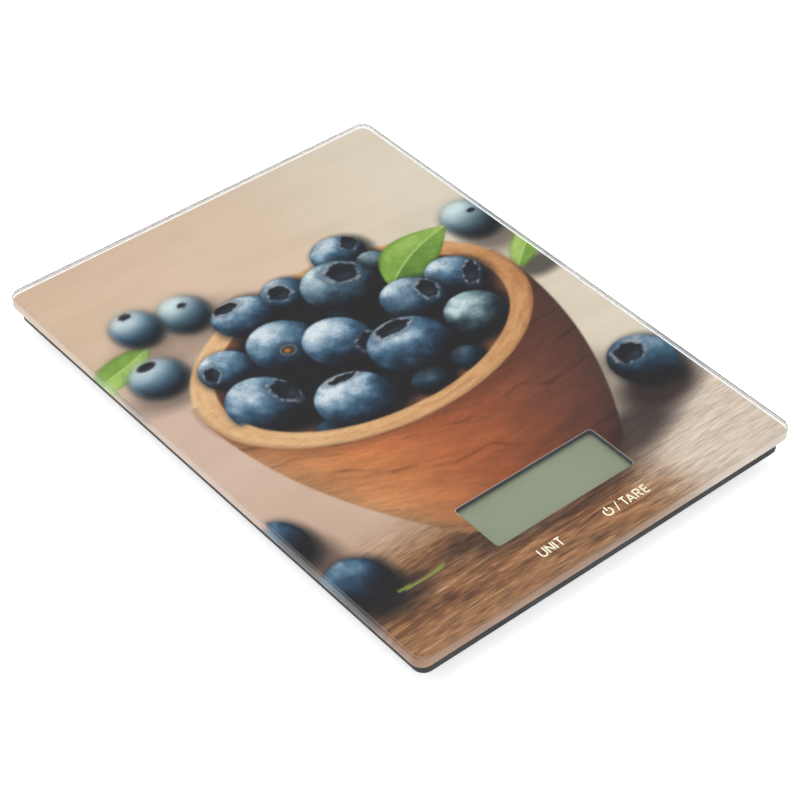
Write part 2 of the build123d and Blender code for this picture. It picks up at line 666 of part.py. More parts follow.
def lcd_frame():
    margin = LCD_FRAME_CLEARANCE
    x, y = LCD_X + 2 * margin, LCD_Y + 2 * margin
    centre = (0.0, LCD_CENTRE_Y)
    low, high = PCB_TOP, FRAME_BOTTOM - 0.05
    outer = slab(x + 2 * LCD_FRAME_WALL, y + 2 * LCD_FRAME_WALL, 1.2, low, high, centre)
    return outer - slab(x, y, 0.3, low - 1, high + 1, centre)


def lcd_sheet(front_edge, low, high):
    return block((-LCD_X / 2, LCD_X / 2), (front_edge, LCD_BACK_EDGE), (low, high))


def zebra_strip():
    x = (-ZEBRA_LENGTH / 2, ZEBRA_LENGTH / 2)
    y = (LCD_FRONT_EDGE + 0.3, LCD_FRONT_EDGE + 0.3 + ZEBRA_WIDTH)
    return block(x, y, (PCB_TOP, LCD_REAR_TOP))


def touch_pad(x):
    """A column of conductive foam between the board and the film."""
    return disc(KEY_PAD_RADIUS, PCB_TOP, FILM_BOTTOM, (x, KEY_Y))


def cell_leads(place):
    """Three wires from a load cell to the board."""
    x, y = place
    side = 1 if x > 0 else -1
    start_x = x - side * 9.3
    leads = []
    for step in (-1, 0, 1):
        start = (start_x, y + step * WIRE_PITCH, WIRE_Z)
        if y > 0:
            run_x = side * (27.6 - step * WIRE_PITCH)
            end = PCB_Y[1] - 3.0
            corners = [(run_x, start[1], WIRE_Z), (run_x, end, WIRE_Z), (run_x, end, PCB_TOP + 0.02)]
            leads.append(wire([start] + corners))
        else:
            run_x = side * (33.9 + step * 1.3)
            turn_y = -51.0 + step * 1.3
            end_x = side * 27.5
            corners = [
                (run_x, start[1], WIRE_Z),
                (run_x, turn_y, WIRE_Z),
                (end_x, turn_y, WIRE_Z),
                (end_x, turn_y, PCB_TOP + 0.02),
            ]
            leads.append(wire([start] + corners, bend=1.6))
    return leads


def main():
    os.makedirs("parts", exist_ok=True)
    save("glass_platform", glass_platform())
    save("decor_film", decor_film())
    save("glass_tape", glass_tape())
    save("upper_frame", upper_frame())
    save("base_case", base_case())
    save("blank_label", blank_label())
    save("battery_cover", battery_cover())
    save("case_screws", case_screws())
    save("cell_can", cell_can())
    save("cell_gasket", cell_gasket())
    save("cell_cap", cell_cap())
    save("contact_negative", contact_negative())
    save("contact_positive", contact_positive())
    save("battery_lead_red", battery_lead(2.0, -3.6, CONTACT_TAB_Z))
    save("battery_lead_black", battery_lead(-7.0, -1.7, BAY_CEILING - CONTACT_THICKNESS / 2))
    save("main_pcb", main_pcb())
    save("pcb_screws", pcb_screws())
    save("controller_blob", controller_blob())
    save("pcb_components", pcb_components())
    save("lcd_frame", lcd_frame())
    save("lcd_polariser", lcd_sheet(LCD_FRONT_EDGE, LCD_FRONT_TOP, LCD_TOP))
    save("lcd_front_glass", lcd_sheet(LCD_FRONT_EDGE, LCD_REAR_TOP, LCD_FRONT_TOP))
    save("lcd_rear_glass", lcd_sheet(LCD_FRONT_EDGE + LCD_LEDGE, LCD_REFLECTOR_TOP, LCD_REAR_TOP))
    reflector_bottom = LCD_REFLECTOR_TOP - LCD_FILM
    save("lcd_reflector", lcd_sheet(LCD_FRONT_EDGE + LCD_LEDGE, reflector_bottom, LCD_REFLECTOR_TOP))
    save("zebra_strip", zebra_strip())
    for key, x in KEYS.items():
        save(f"touch_pad_{key}", touch_pad(x))
    for corner, place in FEET.items():
        save(f"load_cell_{corner}", load_cell(place))
        save(f"gauge_coating_{corner}", gauge_coating(place))
        save(f"foot_{corner}", foot(place))
        save(f"foot_pad_{corner}", foot_pad(place))
        save(f"cell_leads_{corner}", cell_leads(place))


main()
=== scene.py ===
"""Looks of a slim kitchen scale: printed glass plate, display, dark plastic case, feet and inner parts."""

import math

import bmesh
import bpy
import numpy as np
from mathutils import Matrix, Vector


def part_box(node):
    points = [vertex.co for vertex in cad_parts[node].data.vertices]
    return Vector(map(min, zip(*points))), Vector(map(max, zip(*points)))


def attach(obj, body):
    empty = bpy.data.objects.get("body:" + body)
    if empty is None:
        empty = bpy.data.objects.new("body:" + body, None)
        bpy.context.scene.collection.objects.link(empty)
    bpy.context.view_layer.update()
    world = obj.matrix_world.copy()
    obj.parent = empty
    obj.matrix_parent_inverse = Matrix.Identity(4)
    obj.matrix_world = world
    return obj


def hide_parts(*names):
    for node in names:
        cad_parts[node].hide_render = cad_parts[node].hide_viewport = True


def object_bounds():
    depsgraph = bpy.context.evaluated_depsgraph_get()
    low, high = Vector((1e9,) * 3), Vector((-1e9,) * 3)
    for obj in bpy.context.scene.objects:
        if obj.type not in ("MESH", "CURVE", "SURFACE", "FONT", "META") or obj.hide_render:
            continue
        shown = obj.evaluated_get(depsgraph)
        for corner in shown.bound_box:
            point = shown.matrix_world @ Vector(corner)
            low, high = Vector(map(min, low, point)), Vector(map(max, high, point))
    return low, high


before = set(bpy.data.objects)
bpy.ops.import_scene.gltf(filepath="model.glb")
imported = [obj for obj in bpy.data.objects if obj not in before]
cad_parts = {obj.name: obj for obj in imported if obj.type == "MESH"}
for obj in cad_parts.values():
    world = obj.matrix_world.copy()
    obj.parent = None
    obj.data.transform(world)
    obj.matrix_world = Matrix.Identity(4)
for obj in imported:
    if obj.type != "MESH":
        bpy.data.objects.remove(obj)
cad_low, cad_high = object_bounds()

MM = 0.001
PLATE_X, PLATE_Y = 72.5, 100.0              # half the plate's size, in millimetres
PLATE_RADIUS = 4.0
FILM_INSET = 0.5                            # the print stops short of the edge, where the glass is clear
FILM_TOP = 10.5
FILM_THICKNESS = 0.12
GLASS_BOTTOM = 10.47                        # just under the film's top: the print is bonded to the glass
GLASS_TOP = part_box("glass_platform")[1][2] / MM
GLASS_ARRIS = 0.65                          # the rounded bevel along the glass's top and bottom edges
POLISHED, GROUND, PAINTED_LIGHT_EDGE, ARRIS = range(4) # the glass's material slots; the last two paint the far edges: whiter, as lit by scattered light, and a dark line on the top bevel
ARRIS_BANDS = 3                             # of the top bevel's four bands, those that carry the painted dark line
FAR_CORNER = Vector((0.65, 0.76))           # the way that the back right corner faces
FAR_SHARE = 0.45                            # walls that face that way more than this are the far ones
WINDOW_LOW, WINDOW_HIGH = (-26.4, -79.7), (26.9, -60.7)
WINDOW_RADIUS = 1.3
CUT_EDGE_OFFSET, CUT_EDGE_WIDTH = 0.10, 0.17
FINE_LOW, FINE_HIGH = -62.0, 60.0           # the part of the film, along y, with the finest grid
FRONT_PITCH, FINE_PITCH, BACK_PITCH = 0.7, 0.52, 1.0
INK_TOP, INK_BOTTOM = 10.515, 10.496
CAP_HEIGHT = 3.2
LABEL_BASE = -90.7
LETTER_LINE, SLASH_LINE = 0.145, 0.11       # stroke widths, in cap heights
MITRE_LIMIT = 0.35
POWER_CENTRE = (7.2, LABEL_BASE + 1.5)
POWER_RADIUS, POWER_LINE = 1.42, 0.48
POWER_GAP = 36                              # half the ring's opening at the top, in degrees
FLOOR_HALF = 4.0                            # half the floor's side, in metres
FLOOR_DROP = 0.0002                         # how far the floor is under the feet, so that they don't merge
CAMERA_PLACE = Vector((-0.3511, -0.4200, 0.4952))
CAMERA_TARGET = Vector((-0.0096, -0.0168, 0.0145))
CAMERA_ROLL = math.radians(0.34)
CAMERA_LENS = 107.75


# ---------------------------------------------------------------- the printed picture
# A plain still life: berries in a wooden bowl on a wooden table. Places are millimetres on the plate, and
# colours are 0 to 255.
BOWL_CENTRE = (1.3, 13.0)
RIM_OUTER = (60.4, 38.6)
RIM_INNER = (52.4, 32.7)
BOWL_FOOT = (1.3, -63.5, 34.8, 13.0)        # centre and radii
RIM_SOFTNESS = 0.012                        # how soft the bowl's outlines are, as a share of its radii
LIGHT = (-0.12, 0.80, 0.59)                 # the way to the light in the picture
INK_BLACK = 34.0                            # the darkest tone that the print reaches, of 255
PRINT_VEIL = 0.020                          # what the glass in front adds by reflection, in linear light
PRINT_GAIN = 0.75                           # print brightness under this scene's lamps
TABLE, WOOD, BERRY, PLAIN = (1, 0, 0), (0, 1, 0), (0, 0, 1), (0, 0, 0)

# Colours along a value: the table's back by x, the grains, leaves and rim by their own tone, the bowl's
# body from left to right, its inside from near to far, and the berries by how lit they are.
TABLE_BACK = ((-75, (208, 180, 154)), (-30, (213, 185, 160)), (10, (214, 190, 166)),
              (40, (215, 201, 179)), (75, (218, 206, 186)))
TABLE_BROWN = ((0.26, (84, 52, 34)), (0.44, (116, 76, 48)), (0.56, (142, 98, 64)), (0.74, (190, 148, 106)))
TABLE_PALE = ((0.25, (200, 178, 158)), (0.5, (211, 195, 177)), (0.75, (220, 208, 192)))
LEAF_GREEN = ((0.0, (44, 70, 22)), (0.4, (86, 124, 44)), (0.7, (126, 164, 66)), (1.0, (178, 205, 112)))
BOWL_RIM = ((0.2, (140, 88, 48)), (0.45, (190, 134, 84)), (0.7, (218, 174, 124)), (1.0, (236, 206, 166)))
BOWL_BODY = ((-1.0, (172, 124, 84)), (-0.86, (192, 126, 78)), (-0.60, (190, 115, 66)),
             (-0.23, (168, 91, 51)), (0.18, (138, 74, 43)), (0.56, (104, 58, 41)),
             (0.84, (86, 50, 40)), (1.0, (70, 46, 40)))
BOWL_INSIDE = ((-1, (120, 72, 44)), (0.2, (92, 56, 38)), (1, (150, 92, 52)))
SKIN = ((-0.35, (9, 14, 20)), (0.05, (14, 27, 38)), (0.30, (28, 52, 72)), (0.52, (52, 84, 108)),
        (0.72, (94, 126, 148)), (0.90, (152, 174, 190)), (1.10, (210, 220, 226)))


def lattice_noise(x, y, seed):
    """Smooth noise between 0 and 1, with one random value per unit square."""
    values = np.random.default_rng(seed).random((128, 128))
    x0, y0 = np.floor(x).astype(int), np.floor(y).astype(int)
    u, v = x - x0, y - y0
    u, v = u * u * (3 - 2 * u), v * v * (3 - 2 * v)
    x0, y0, x1, y1 = x0 % 128, y0 % 128, (x0 + 1) % 128, (y0 + 1) % 128
    low = values[x0, y0] * (1 - u) + values[x1, y0] * u
    high = values[x0, y1] * (1 - u) + values[x1, y1] * u
    return low * (1 - v) + high * v


def cloud(x, y, octaves, seed):
    """Noise of several sizes added up, between 0 and 1."""
    total, weight = 0.0, 0.0
    for step in range(octaves):
        share = 0.55**step
        total = total + share * lattice_noise(x * 2**step, y * 2**step, seed + step)
        weight += share
    return total / weight


def ramp(low, high, value):
    """A smooth step from 0 at low to 1 at high. low may be the larger."""
    t = np.clip((value - low) / (high - low), 0, 1)
    return t * t * (3 - 2 * t)


def mix(a, b, share):
    """Colour a with a share of colour b."""
    return a + (b - a) * np.asarray(share)[..., None]


def gradient(stops, value):
    """A colour from a few (value, colour) stops."""
    at = [s[0] for s in stops]
    return np.stack([np.interp(value, at, [s[1][i] for s in stops]) for i in range(3)], -1)


def inked(rgb, kind):
    """A colour with the kind of thing it shows, which the shader adds fine detail to."""
    rgb = np.asarray(rgb, float)
    return np.concatenate([rgb, np.broadcast_to(np.array(kind, float), rgb.shape)], -1)


def darken(canvas, tone, share):
    """Lays a tone over the picture and leaves its kinds as they are."""
    out = canvas.copy()
    out[..., :3] = mix(canvas[..., :3], np.array(tone, float), share)
    return out


def ellipse(x, y, cx, cy, rx, ry, turn=0.0):
    """Places in an ellipse's own units, where its edge is at 1."""
    c, s = math.cos(turn), math.sin(turn)
    dx, dy = x - cx, y - cy
    return (dx * c + dy * s) / rx, (dy * c - dx * s) / ry


def table_top(x, y):
    """Pale and out of focus at the back, sharp brown grain at the front left."""
    back = gradient(TABLE_BACK, x + 6 * (cloud(x / 30, y / 16, 2, 3) - 0.5))
    pink = ramp(70, 20, y) * ramp(20, -60, x)
    back = mix(back, np.array((206, 178, 160)), 0.75 * pink)
    back = back + 12 * (cloud(x / 26, y / 7, 3, 11) - 0.5)[..., None]
    streak = cloud(x / 19, y / 1.5, 4, 21)
    fine = cloud(x / 7, y / 0.62, 3, 31)
    grain = 0.5 + 0.9 * (0.5 * streak + 0.5 * fine - 0.5)
    brown = gradient(TABLE_BROWN, grain)
    pale = gradient(TABLE_PALE, grain)
    sharp = ramp(-46, -72, y + 5 * (cloud(x / 20, y / 9, 2, 41) - 0.5))
    light = ramp(12, 46, x + 0.12 * (y + 95) + 8 * (cloud(x / 14, y / 5, 2, 51) - 0.5))
    surface = mix(back, mix(brown, pale, light), sharp)
    dusk = ramp(-8, -48, y) * ramp(-30, -60, x) * (1 - sharp)
    surface = mix(surface, np.array((190, 156, 130)), 0.5 * dusk)
    front = ramp(-84, -99, y) * 0.42 * (1 - light)
    canvas = inked(mix(surface, np.array((180, 138, 98)), front), TABLE)
    canvas[..., 3] = sharp * (1 - 0.6 * light)
    return canvas


def shade_spot(canvas, x, y, cx, cy, rx, ry, strength, soft=0.45, tone=(40, 29, 27)):
    """A soft dark patch, such as a shadow."""
    u, v = ellipse(x, y, cx, cy, rx, ry)
    return darken(canvas, tone, strength * ramp(1 + soft, 1 - soft, np.hypot(u, v)))


def berry(canvas, x, y, cx, cy, rx, ry, seed, turn=0.0, blur=0.035, tone=0.0, dim=0.0,
          crown=None, light=LIGHT):
    """One berry over the picture so far.

    tone is how grey it is, and dim how dark. crown is (x, y, width, height, turn) of its star, where the
    berry's own radii are 1.
    """
    u, v = ellipse(x, y, cx, cy, rx, ry, turn)
    radius = np.hypot(u, v)
    near = radius < 1.9
    if not near.any():
        return canvas
    out = canvas.copy()
    u, v, radius = u[near], v[near], radius[near]
    px, py = x[near], y[near]
    below = np.hypot((px - cx) / rx - 0.10, (py - cy) / ry + 0.16)
    firm = max(0.3, 1 - 3 * blur)
    base = darken(out[near], (10, 13, 18), 0.80 * firm * ramp(1.34 + blur, 0.92 - blur, below))
    nz = np.sqrt(np.clip(1 - radius**2, 0, 1))
    nx = u * math.cos(turn) - v * math.sin(turn)
    ny = u * math.sin(turn) + v * math.cos(turn)
    lit = nx * light[0] + ny * light[1] + nz * light[2]
    crisp = max(0.15, 1 - blur * 4)
    patch = cloud(px / 3.4 + seed * 3.7, py / 3.4, 4, 61 + seed)
    bloom = cloud(px / 6.5 + seed * 1.9, py / 4.5, 2, 81 + seed)
    speck = cloud(px / 0.9, py / 0.9, 2, 91 + seed)
    value = lit + crisp * (0.48 * (patch - 0.5) + 0.42 * (bloom - 0.5) + 0.14 * (speck - 0.5)) - dim
    value = value + 0.18 * ramp(0.80, 1.0, radius) * ramp(0.3, -0.3, ny)
    skin = gradient(SKIN, value)
    grey = skin.mean(-1, keepdims=True) * np.array([0.88, 1.02, 0.98])
    skin = mix(skin, grey, np.full(len(skin), tone))
    if crown:
        skin = berry_crown(skin, u, v, px, py, crown, seed, crisp)
    kind = BERRY if blur < 0.1 else PLAIN
    out[near] = mix(base, inked(skin, kind), ramp(1 + blur, 1 - blur, radius))
    return out


def berry_crown(skin, u, v, px, py, crown, seed, crisp):
    """The ragged star at a berry's end: a dark hollow with a broken light lip."""
    a, b = ellipse(u, v, *crown)
    angle = np.arctan2(b, a)
    ragged = 0.07 * np.cos(5 * angle + seed) + 0.04 * np.cos(8 * angle + 2 * seed)
    ragged = ragged + 0.30 * (cloud(px / 1.1, py / 1.1, 3, 131 + seed) - 0.5)
    reach = np.hypot(a, b) / (1 + ragged * crisp)
    skin = mix(skin, np.array((46, 70, 92)), 0.50 * ramp(1.65, 1.1, reach) * crisp)
    lip = ramp(0.70, 0.92, reach) * ramp(1.26, 1.02, reach)
    broken = 0.12 + 0.88 * ramp(0.42, 0.72, cloud(px / 1.3, py / 1.3, 2, 151 + seed))
    skin = mix(skin, np.array((172, 166, 164)), lip * broken * 0.80 * crisp)
    hole = ramp(0.98, 0.80 - 0.3 * (1 - crisp), reach)
    lit_wall = 0.75 * ramp(0.1, -0.9, b) * ramp(0.9, 0.2, reach)
    dark = np.broadcast_to(np.array((20.0, 24.0, 32.0)), skin.shape)
    return mix(skin, mix(dark, np.array((92, 104, 122)), lit_wall), hole)


def stem_scar(canvas, x, y, cx, cy):
    """The dimple at the stem end of a berry."""
    reach = np.hypot(x - cx, (y - cy) * 1.15)
    canvas = darken(canvas, (30, 46, 64), 0.75 * ramp(6.2, 2.4, reach))
    canvas = darken(canvas, (112, 128, 142), 0.6 * ramp(3.2, 2.6, reach))
    canvas = darken(canvas, (72, 48, 28), ramp(2.4, 1.9, reach))
    return darken(canvas, (158, 112, 52), ramp(1.3, 0.5, np.hypot(x - cx + 0.4, y - cy)))


def leaf(canvas, x, y, base, tip, width, bend, blur, bright, seed):
    """A pointed leaf from its base to its tip, with a midrib and side veins."""
    dx, dy = tip[0] - base[0], tip[1] - base[1]
    length = math.hypot(dx, dy)
    along = ((x - base[0]) * dx + (y - base[1]) * dy) / length**2
    across = ((y - base[1]) * dx - (x - base[0]) * dy) / length
    t = np.clip(along, 0, 1)
    off_rib = np.abs(across - bend * np.sin(math.pi * t))
    half = width * np.sin(math.pi * t**0.85) ** 0.8 * (1 - 0.25 * t)
    side = off_rib / np.maximum(half, 1e-3)
    soft = blur * length
    inside = ramp(soft, -soft, off_rib - half) * ramp(-0.02, 0.02, along) * ramp(1.02, 0.98, along)
    upper = across > bend * np.sin(math.pi * t)
    tone = np.where(upper, 0.62, 0.40) + 0.22 * t + 0.3 * (cloud(x / 4, y / 4, 3, 171 + seed) - 0.5)
    tone = tone - 0.25 * ramp(0.75, 1.0, side)
    veins = np.abs(np.sin(9.5 * math.pi * (t - 0.16 * side)))
    tone = tone + 0.10 * ramp(0.25, 0.0, veins) + bright
    green = gradient(LEAF_GREEN, tone)
    green = mix(green, np.array((176, 202, 120)), 0.8 * ramp(0.55, 0.1, off_rib))
    return mix(canvas, inked(green, PLAIN), inside)


def bowl_half_width(y):
    """Half the bowl's width at a height of the picture, from under the rim to its foot."""
    return RIM_OUTER[0] - 0.0043 * np.clip(BOWL_CENTRE[1] - y, 0, None) ** 2


def bowl_wood(x, y):
    """The bowl's outside: warm and light at the left, dark at the right, with faint curved grain."""
    across = (x - BOWL_CENTRE[0]) / bowl_half_width(y)
    sag = y + 10 * (1 - np.clip(across, -1, 1) ** 2)
    flow = 5 * cloud(x / 46, sag / 26, 2, 201) + 0.9 * cloud(x / 12, sag / 9, 2, 211)
    rings = np.abs(np.sin(sag * 0.20 + 0.06 * x + flow))
    lines = ramp(0.22, 0.0, rings) * ramp(0.30, 0.60, cloud(x / 11, y / 4, 2, 221))
    pores = cloud((x + 0.5 * y) / 4.2, (sag + 0.2 * x) / 0.62, 3, 231)
    body = gradient(BOWL_BODY, across + 0.10 * (cloud(x / 18, y / 14, 2, 241) - 0.5))
    mottle = 1 + 0.22 * (pores - 0.5) + 0.24 * (cloud(x / 22, sag / 6, 3, 251) - 0.5)
    body = body * mottle[..., None]
    body = mix(body, body * 0.70, lines * 0.7)
    top = ramp(-14, 6, y) * ramp(0.9, 0.2, np.abs(across))
    body = mix(body, body * 1.06 + 8, top)
    return inked(mix(body, body * 0.80, ramp(-50, -72, y)), WOOD)


def rim_wood(x, y):
    """The pale cut edge round the bowl's mouth."""
    u, v = (x - BOWL_CENTRE[0]) / RIM_OUTER[0], (y - BOWL_CENTRE[1]) / RIM_OUTER[1]
    angle = np.arctan2(v, u)
    grain = cloud(angle * 9, np.hypot(u, v) * 46, 3, 261)
    tone = 0.58 + 0.16 * np.cos(angle - 2.5) + 0.30 * (grain - 0.5) + 0.10 * ramp(0.2, -0.9, v)
    return inked(gradient(BOWL_RIM, tone), WOOD)


# The berries: centre and radii in millimetres, turn in radians, and what else berry() takes.
HEAP_BACK = (
    dict(cx=21.4, cy=50.8, rx=9.6, ry=8.6, seed=1, crown=(0.66, 0.34, 0.32, 0.50, -0.5)),
    dict(cx=-20.2, cy=45.2, rx=11.2, ry=9.4, turn=-0.2, seed=2, dim=-0.06,
         crown=(-0.38, 0.66, 0.44, 0.24, 0.25)),
    dict(cx=-4.0, cy=46.0, rx=8.0, ry=7.7, seed=3, crown=(-0.18, 0.20, 0.50, 0.50, 0.2)),
    dict(cx=27.5, cy=40.5, rx=6.0, ry=5.6, seed=5, tone=0.5, dim=0.1),
    dict(cx=5.0, cy=24.0, rx=8.5, ry=8.0, seed=6, dim=0.75),
    dict(cx=-30.0, cy=18.0, rx=8.5, ry=8.0, seed=7, dim=0.7),
    dict(cx=11.6, cy=38.4, rx=12.8, ry=12.0, seed=4, tone=0.25, crown=(0.38, 0.38, 0.46, 0.42, -0.3)),
)
HEAP_FRONT = (
    dict(cx=-40.0, cy=28.9, rx=9.2, ry=8.5, turn=0.3, seed=8, dim=-0.05,
         crown=(-0.46, 0.28, 0.42, 0.30, 0.9)),
    dict(cx=-19.4, cy=26.4, rx=12.2, ry=12.0, turn=-0.1, seed=9),
    dict(cx=43.0, cy=18.9, rx=9.8, ry=9.7, turn=-0.6, seed=10, dim=0.02,
         crown=(0.56, 0.16, 0.28, 0.60, -0.1)),
    dict(cx=25.7, cy=18.6, rx=10.8, ry=10.3, turn=-0.4, seed=11, tone=0.15,
         crown=(0.52, 0.34, 0.32, 0.48, 0.1)),
    dict(cx=5.3, cy=-14.7, rx=7.0, ry=6.0, seed=12, tone=0.2, dim=0.30),
    dict(cx=20.6, cy=-13.6, rx=5.6, ry=5.6, seed=13, dim=0.25),
    dict(cx=-31.6, cy=-12.5, rx=6.0, ry=5.0, seed=14, dim=0.5),
    dict(cx=-40.2, cy=9.0, rx=11.8, ry=13.0, turn=0.15, seed=15, dim=0.03,
         crown=(0.72, 0.0, 0.34, 0.44, 0.2)),
    dict(cx=-5.4, cy=17.6, rx=11.5, ry=11.3, seed=16, dim=-0.06, crown=(0.62, -0.50, 0.42, 0.30, 0.75)),
    dict(cx=36.5, cy=0.6, rx=11.0, ry=10.4, turn=0.3, seed=17, tone=0.55, dim=0.02),
    dict(cx=-17.9, cy=-6.4, rx=12.9, ry=12.3, turn=-0.15, seed=18, dim=-0.10,
         crown=(0.06, 0.82, 0.44, 0.13, 0.05)),
    dict(cx=10.8, cy=2.6, rx=14.0, ry=12.5, seed=19, dim=-0.08, crown=(0.04, 0.74, 0.52, 0.24, 0.0)),
)
LOOSE_BACK = (
    dict(cx=-34.4, cy=58.0, rx=8.6, ry=9.4, blur=0.26, seed=20, tone=0.35, dim=-0.14,
         crown=(0.22, 0.44, 0.26, 0.16, 0.0)),
    dict(cx=-50.0, cy=61.6, rx=8.2, ry=9.2, blur=0.26, seed=21, tone=0.2, dim=-0.12,
         crown=(0.05, 0.80, 0.36, 0.2, 0.0)),
    dict(cx=-58.0, cy=38.8, rx=9.4, ry=9.2, blur=0.24, seed=22, tone=0.2, dim=-0.14,
         crown=(0.0, 0.74, 0.46, 0.26, 0.0)),
    dict(cx=66.0, cy=37.4, rx=9.6, ry=10.4, blur=0.24, seed=23, tone=0.5, dim=-0.12,
         crown=(0.34, 0.34, 0.22, 0.14, 0.0)),
)
LOOSE_FRONT = (
    dict(cx=-72.4, cy=-40.4, rx=8.0, ry=10.0, blur=0.07, seed=24, dim=0.30),
    dict(cx=-65.0, cy=-65.8, rx=9.6, ry=10.6, blur=0.045, turn=0.3, seed=25, dim=0.32),
    dict(cx=61.0, cy=-48.0, rx=11.2, ry=10.8, blur=0.045, seed=26, dim=0.02,
         crown=(-0.10, 0.44, 0.52, 0.42, 0.2), light=(0.42, 0.62, 0.5)),
)
SCARRED_SEED = 9                            # the berry that shows its stem end
STEM_SCAR = (-19.8, 24.2)
LEFT_LEAF = dict(base=(-52.5, 52.5), tip=(-84, 46.5), width=6.4, bend=1.2, blur=0.04, bright=0.18, seed=6)
RIGHT_LEAF = dict(base=(61, 9), tip=(88, 27), width=5.2, bend=0.6, blur=0.05, bright=0.2, seed=7)
HEAP_LEAF = dict(base=(24.0, 27.5), tip=(57.2, 40.2), width=10.2, bend=2.2, blur=0.02, bright=0.0, seed=5)
TWIG_CENTRE, TWIG_HALF, TWIG_SAG = (-50, -75.6), 9, 0.99
# Shadows on the table: centre, radii and strength.
SHADOWS = (
    (-40, 50, 24, 11, 0.24), (-57, 31, 15, 7, 0.36), (68, 27, 12, 9, 0.5), (-70, -50, 9, 11, 0.62),
    (57, -60, 14, 8.5, 0.92), (-62, -76, 15, 7, 0.66), (32, -69, 22, 8, 0.8), (46, -52, 11, 17, 0.35),
    (-28, -73, 14, 4.5, 0.5), (0, -79, 34, 5, 0.45),
)


def bowl(canvas, x, y):
    """The bowl's outside, its rim and its dark inside."""
    outer = np.hypot(*ellipse(x, y, *BOWL_CENTRE, *RIM_OUTER))
    u, v = ellipse(x, y, *BOWL_CENTRE, *RIM_INNER)
    across = np.abs(x - BOWL_CENTRE[0]) - bowl_half_width(y)
    foot = np.hypot(*ellipse(x, y, *BOWL_FOOT))
    above_foot = np.where(y > BOWL_FOOT[1], 1.0, ramp(1.03, 0.99, foot))
    body = ramp(0.5, -0.5, across) * (y < BOWL_CENTRE[1]) * above_foot
    wood = darken(bowl_wood(x, y), (70, 36, 22), 0.25 * ramp(1.16, 1.0, outer))
    canvas = mix(canvas, wood, body)
    canvas = mix(canvas, rim_wood(x, y), ramp(1 + RIM_SOFTNESS, 1 - RIM_SOFTNESS, outer))
    inside = gradient(BOWL_INSIDE, v)
    inside = mix(inside, np.array((14, 17, 22)), 0.92 * ramp(1.02, 0.84, np.hypot(u, v)))
    return mix(canvas, inked(inside, PLAIN), ramp(1 + RIM_SOFTNESS, 1 - RIM_SOFTNESS, np.hypot(u, v)))


def front_of_rim(canvas, x, y):
    """The near half of the rim, over the berries behind it."""
    outer = np.hypot(*ellipse(x, y, *BOWL_CENTRE, *RIM_OUTER))
    inner = np.hypot(*ellipse(x, y, *BOWL_CENTRE, *RIM_INNER))
    share = ramp(2, -2, y - 6) * ramp(1 - RIM_SOFTNESS, 1 + RIM_SOFTNESS, inner)
    share = share * ramp(1 + RIM_SOFTNESS, 1 - RIM_SOFTNESS, outer)
    canvas = mix(canvas, rim_wood(x, y), share)
    dark_line = ramp(0.04, 0.0, np.abs(outer - 1.0)) * (y < BOWL_CENTRE[1] + 8)
    return darken(canvas, (90, 52, 30), 0.25 * dark_line)


def twig(canvas, x, y):
    """A thin green stalk on the table."""
    along = (x - TWIG_CENTRE[0]) / TWIG_HALF
    off = np.abs(y - TWIG_CENTRE[1] - TWIG_SAG * along**2)
    share = ramp(0.75, 0.35, off) * ramp(-59.5, -58.5, x) * ramp(-41.5, -42.5, x)
    return mix(canvas, inked(np.array((128, 140, 62)), PLAIN), share)


def picture(x, y):
    """The print's colour, 0 to 255, at places on the plate, and the kind of thing shown there."""
    canvas = table_top(x, y)
    for spot in SHADOWS:
        canvas = shade_spot(canvas, x, y, *spot)
    canvas = leaf(canvas, x, y, **LEFT_LEAF)
    canvas = shade_spot(canvas, x, y, 68, 6, 9, 5.0, 0.7, soft=0.5, tone=(30, 28, 22))
    canvas = leaf(canvas, x, y, **RIGHT_LEAF)
    for one in LOOSE_BACK:
        canvas = berry(canvas, x, y, **one)
    canvas = bowl(canvas, x, y)
    for one in HEAP_BACK:
        canvas = berry(canvas, x, y, **one)
    canvas = leaf(canvas, x, y, **HEAP_LEAF)
    for one in HEAP_FRONT:
        canvas = berry(canvas, x, y, **one)
        if one["seed"] == SCARRED_SEED:
            canvas = stem_scar(canvas, x, y, *STEM_SCAR)
    canvas = front_of_rim(canvas, x, y)
    for one in LOOSE_FRONT:
        canvas = berry(canvas, x, y, **one)
    canvas = twig(canvas, x, y)
    return np.hypot(np.clip(canvas[..., :3], 0, 255), INK_BLACK), canvas[..., 3:]


# ---------------------------------------------------------------- meshes
def new_piece(name, mesh, materials):
    """Puts a mesh, drawn in millimetres, into the scene as a flat-shaded piece that rides on the case."""
    mesh.transform(Matrix.Scale(MM, 4))
    for polygon in mesh.polygons:
        polygon.use_smooth = False
    for material in materials:
        mesh.materials.append(material)
    piece = bpy.data.objects.new(name, mesh)
    bpy.context.scene.collection.objects.link(piece)
    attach(piece, "case")
    return piece


def grid_lines(low, high, pitch, marks):
    """Grid lines from low to high that pass through every mark. pitch is (start, end, step) spans."""
    stops = sorted({low, high, *marks, *[s[0] for s in pitch], *[s[1] for s in pitch]})
    stops = [s for s in stops if low <= s <= high]
    lines = [low]
    for a, b in zip(stops, stops[1:]):
        step = next(s[2] for s in pitch if s[0] <= (a + b) / 2 <= s[1])
        count = max(1, round((b - a) / step))
        lines += [a + (b - a) * k / count for k in range(1, count + 1)]
    return np.array(lines)


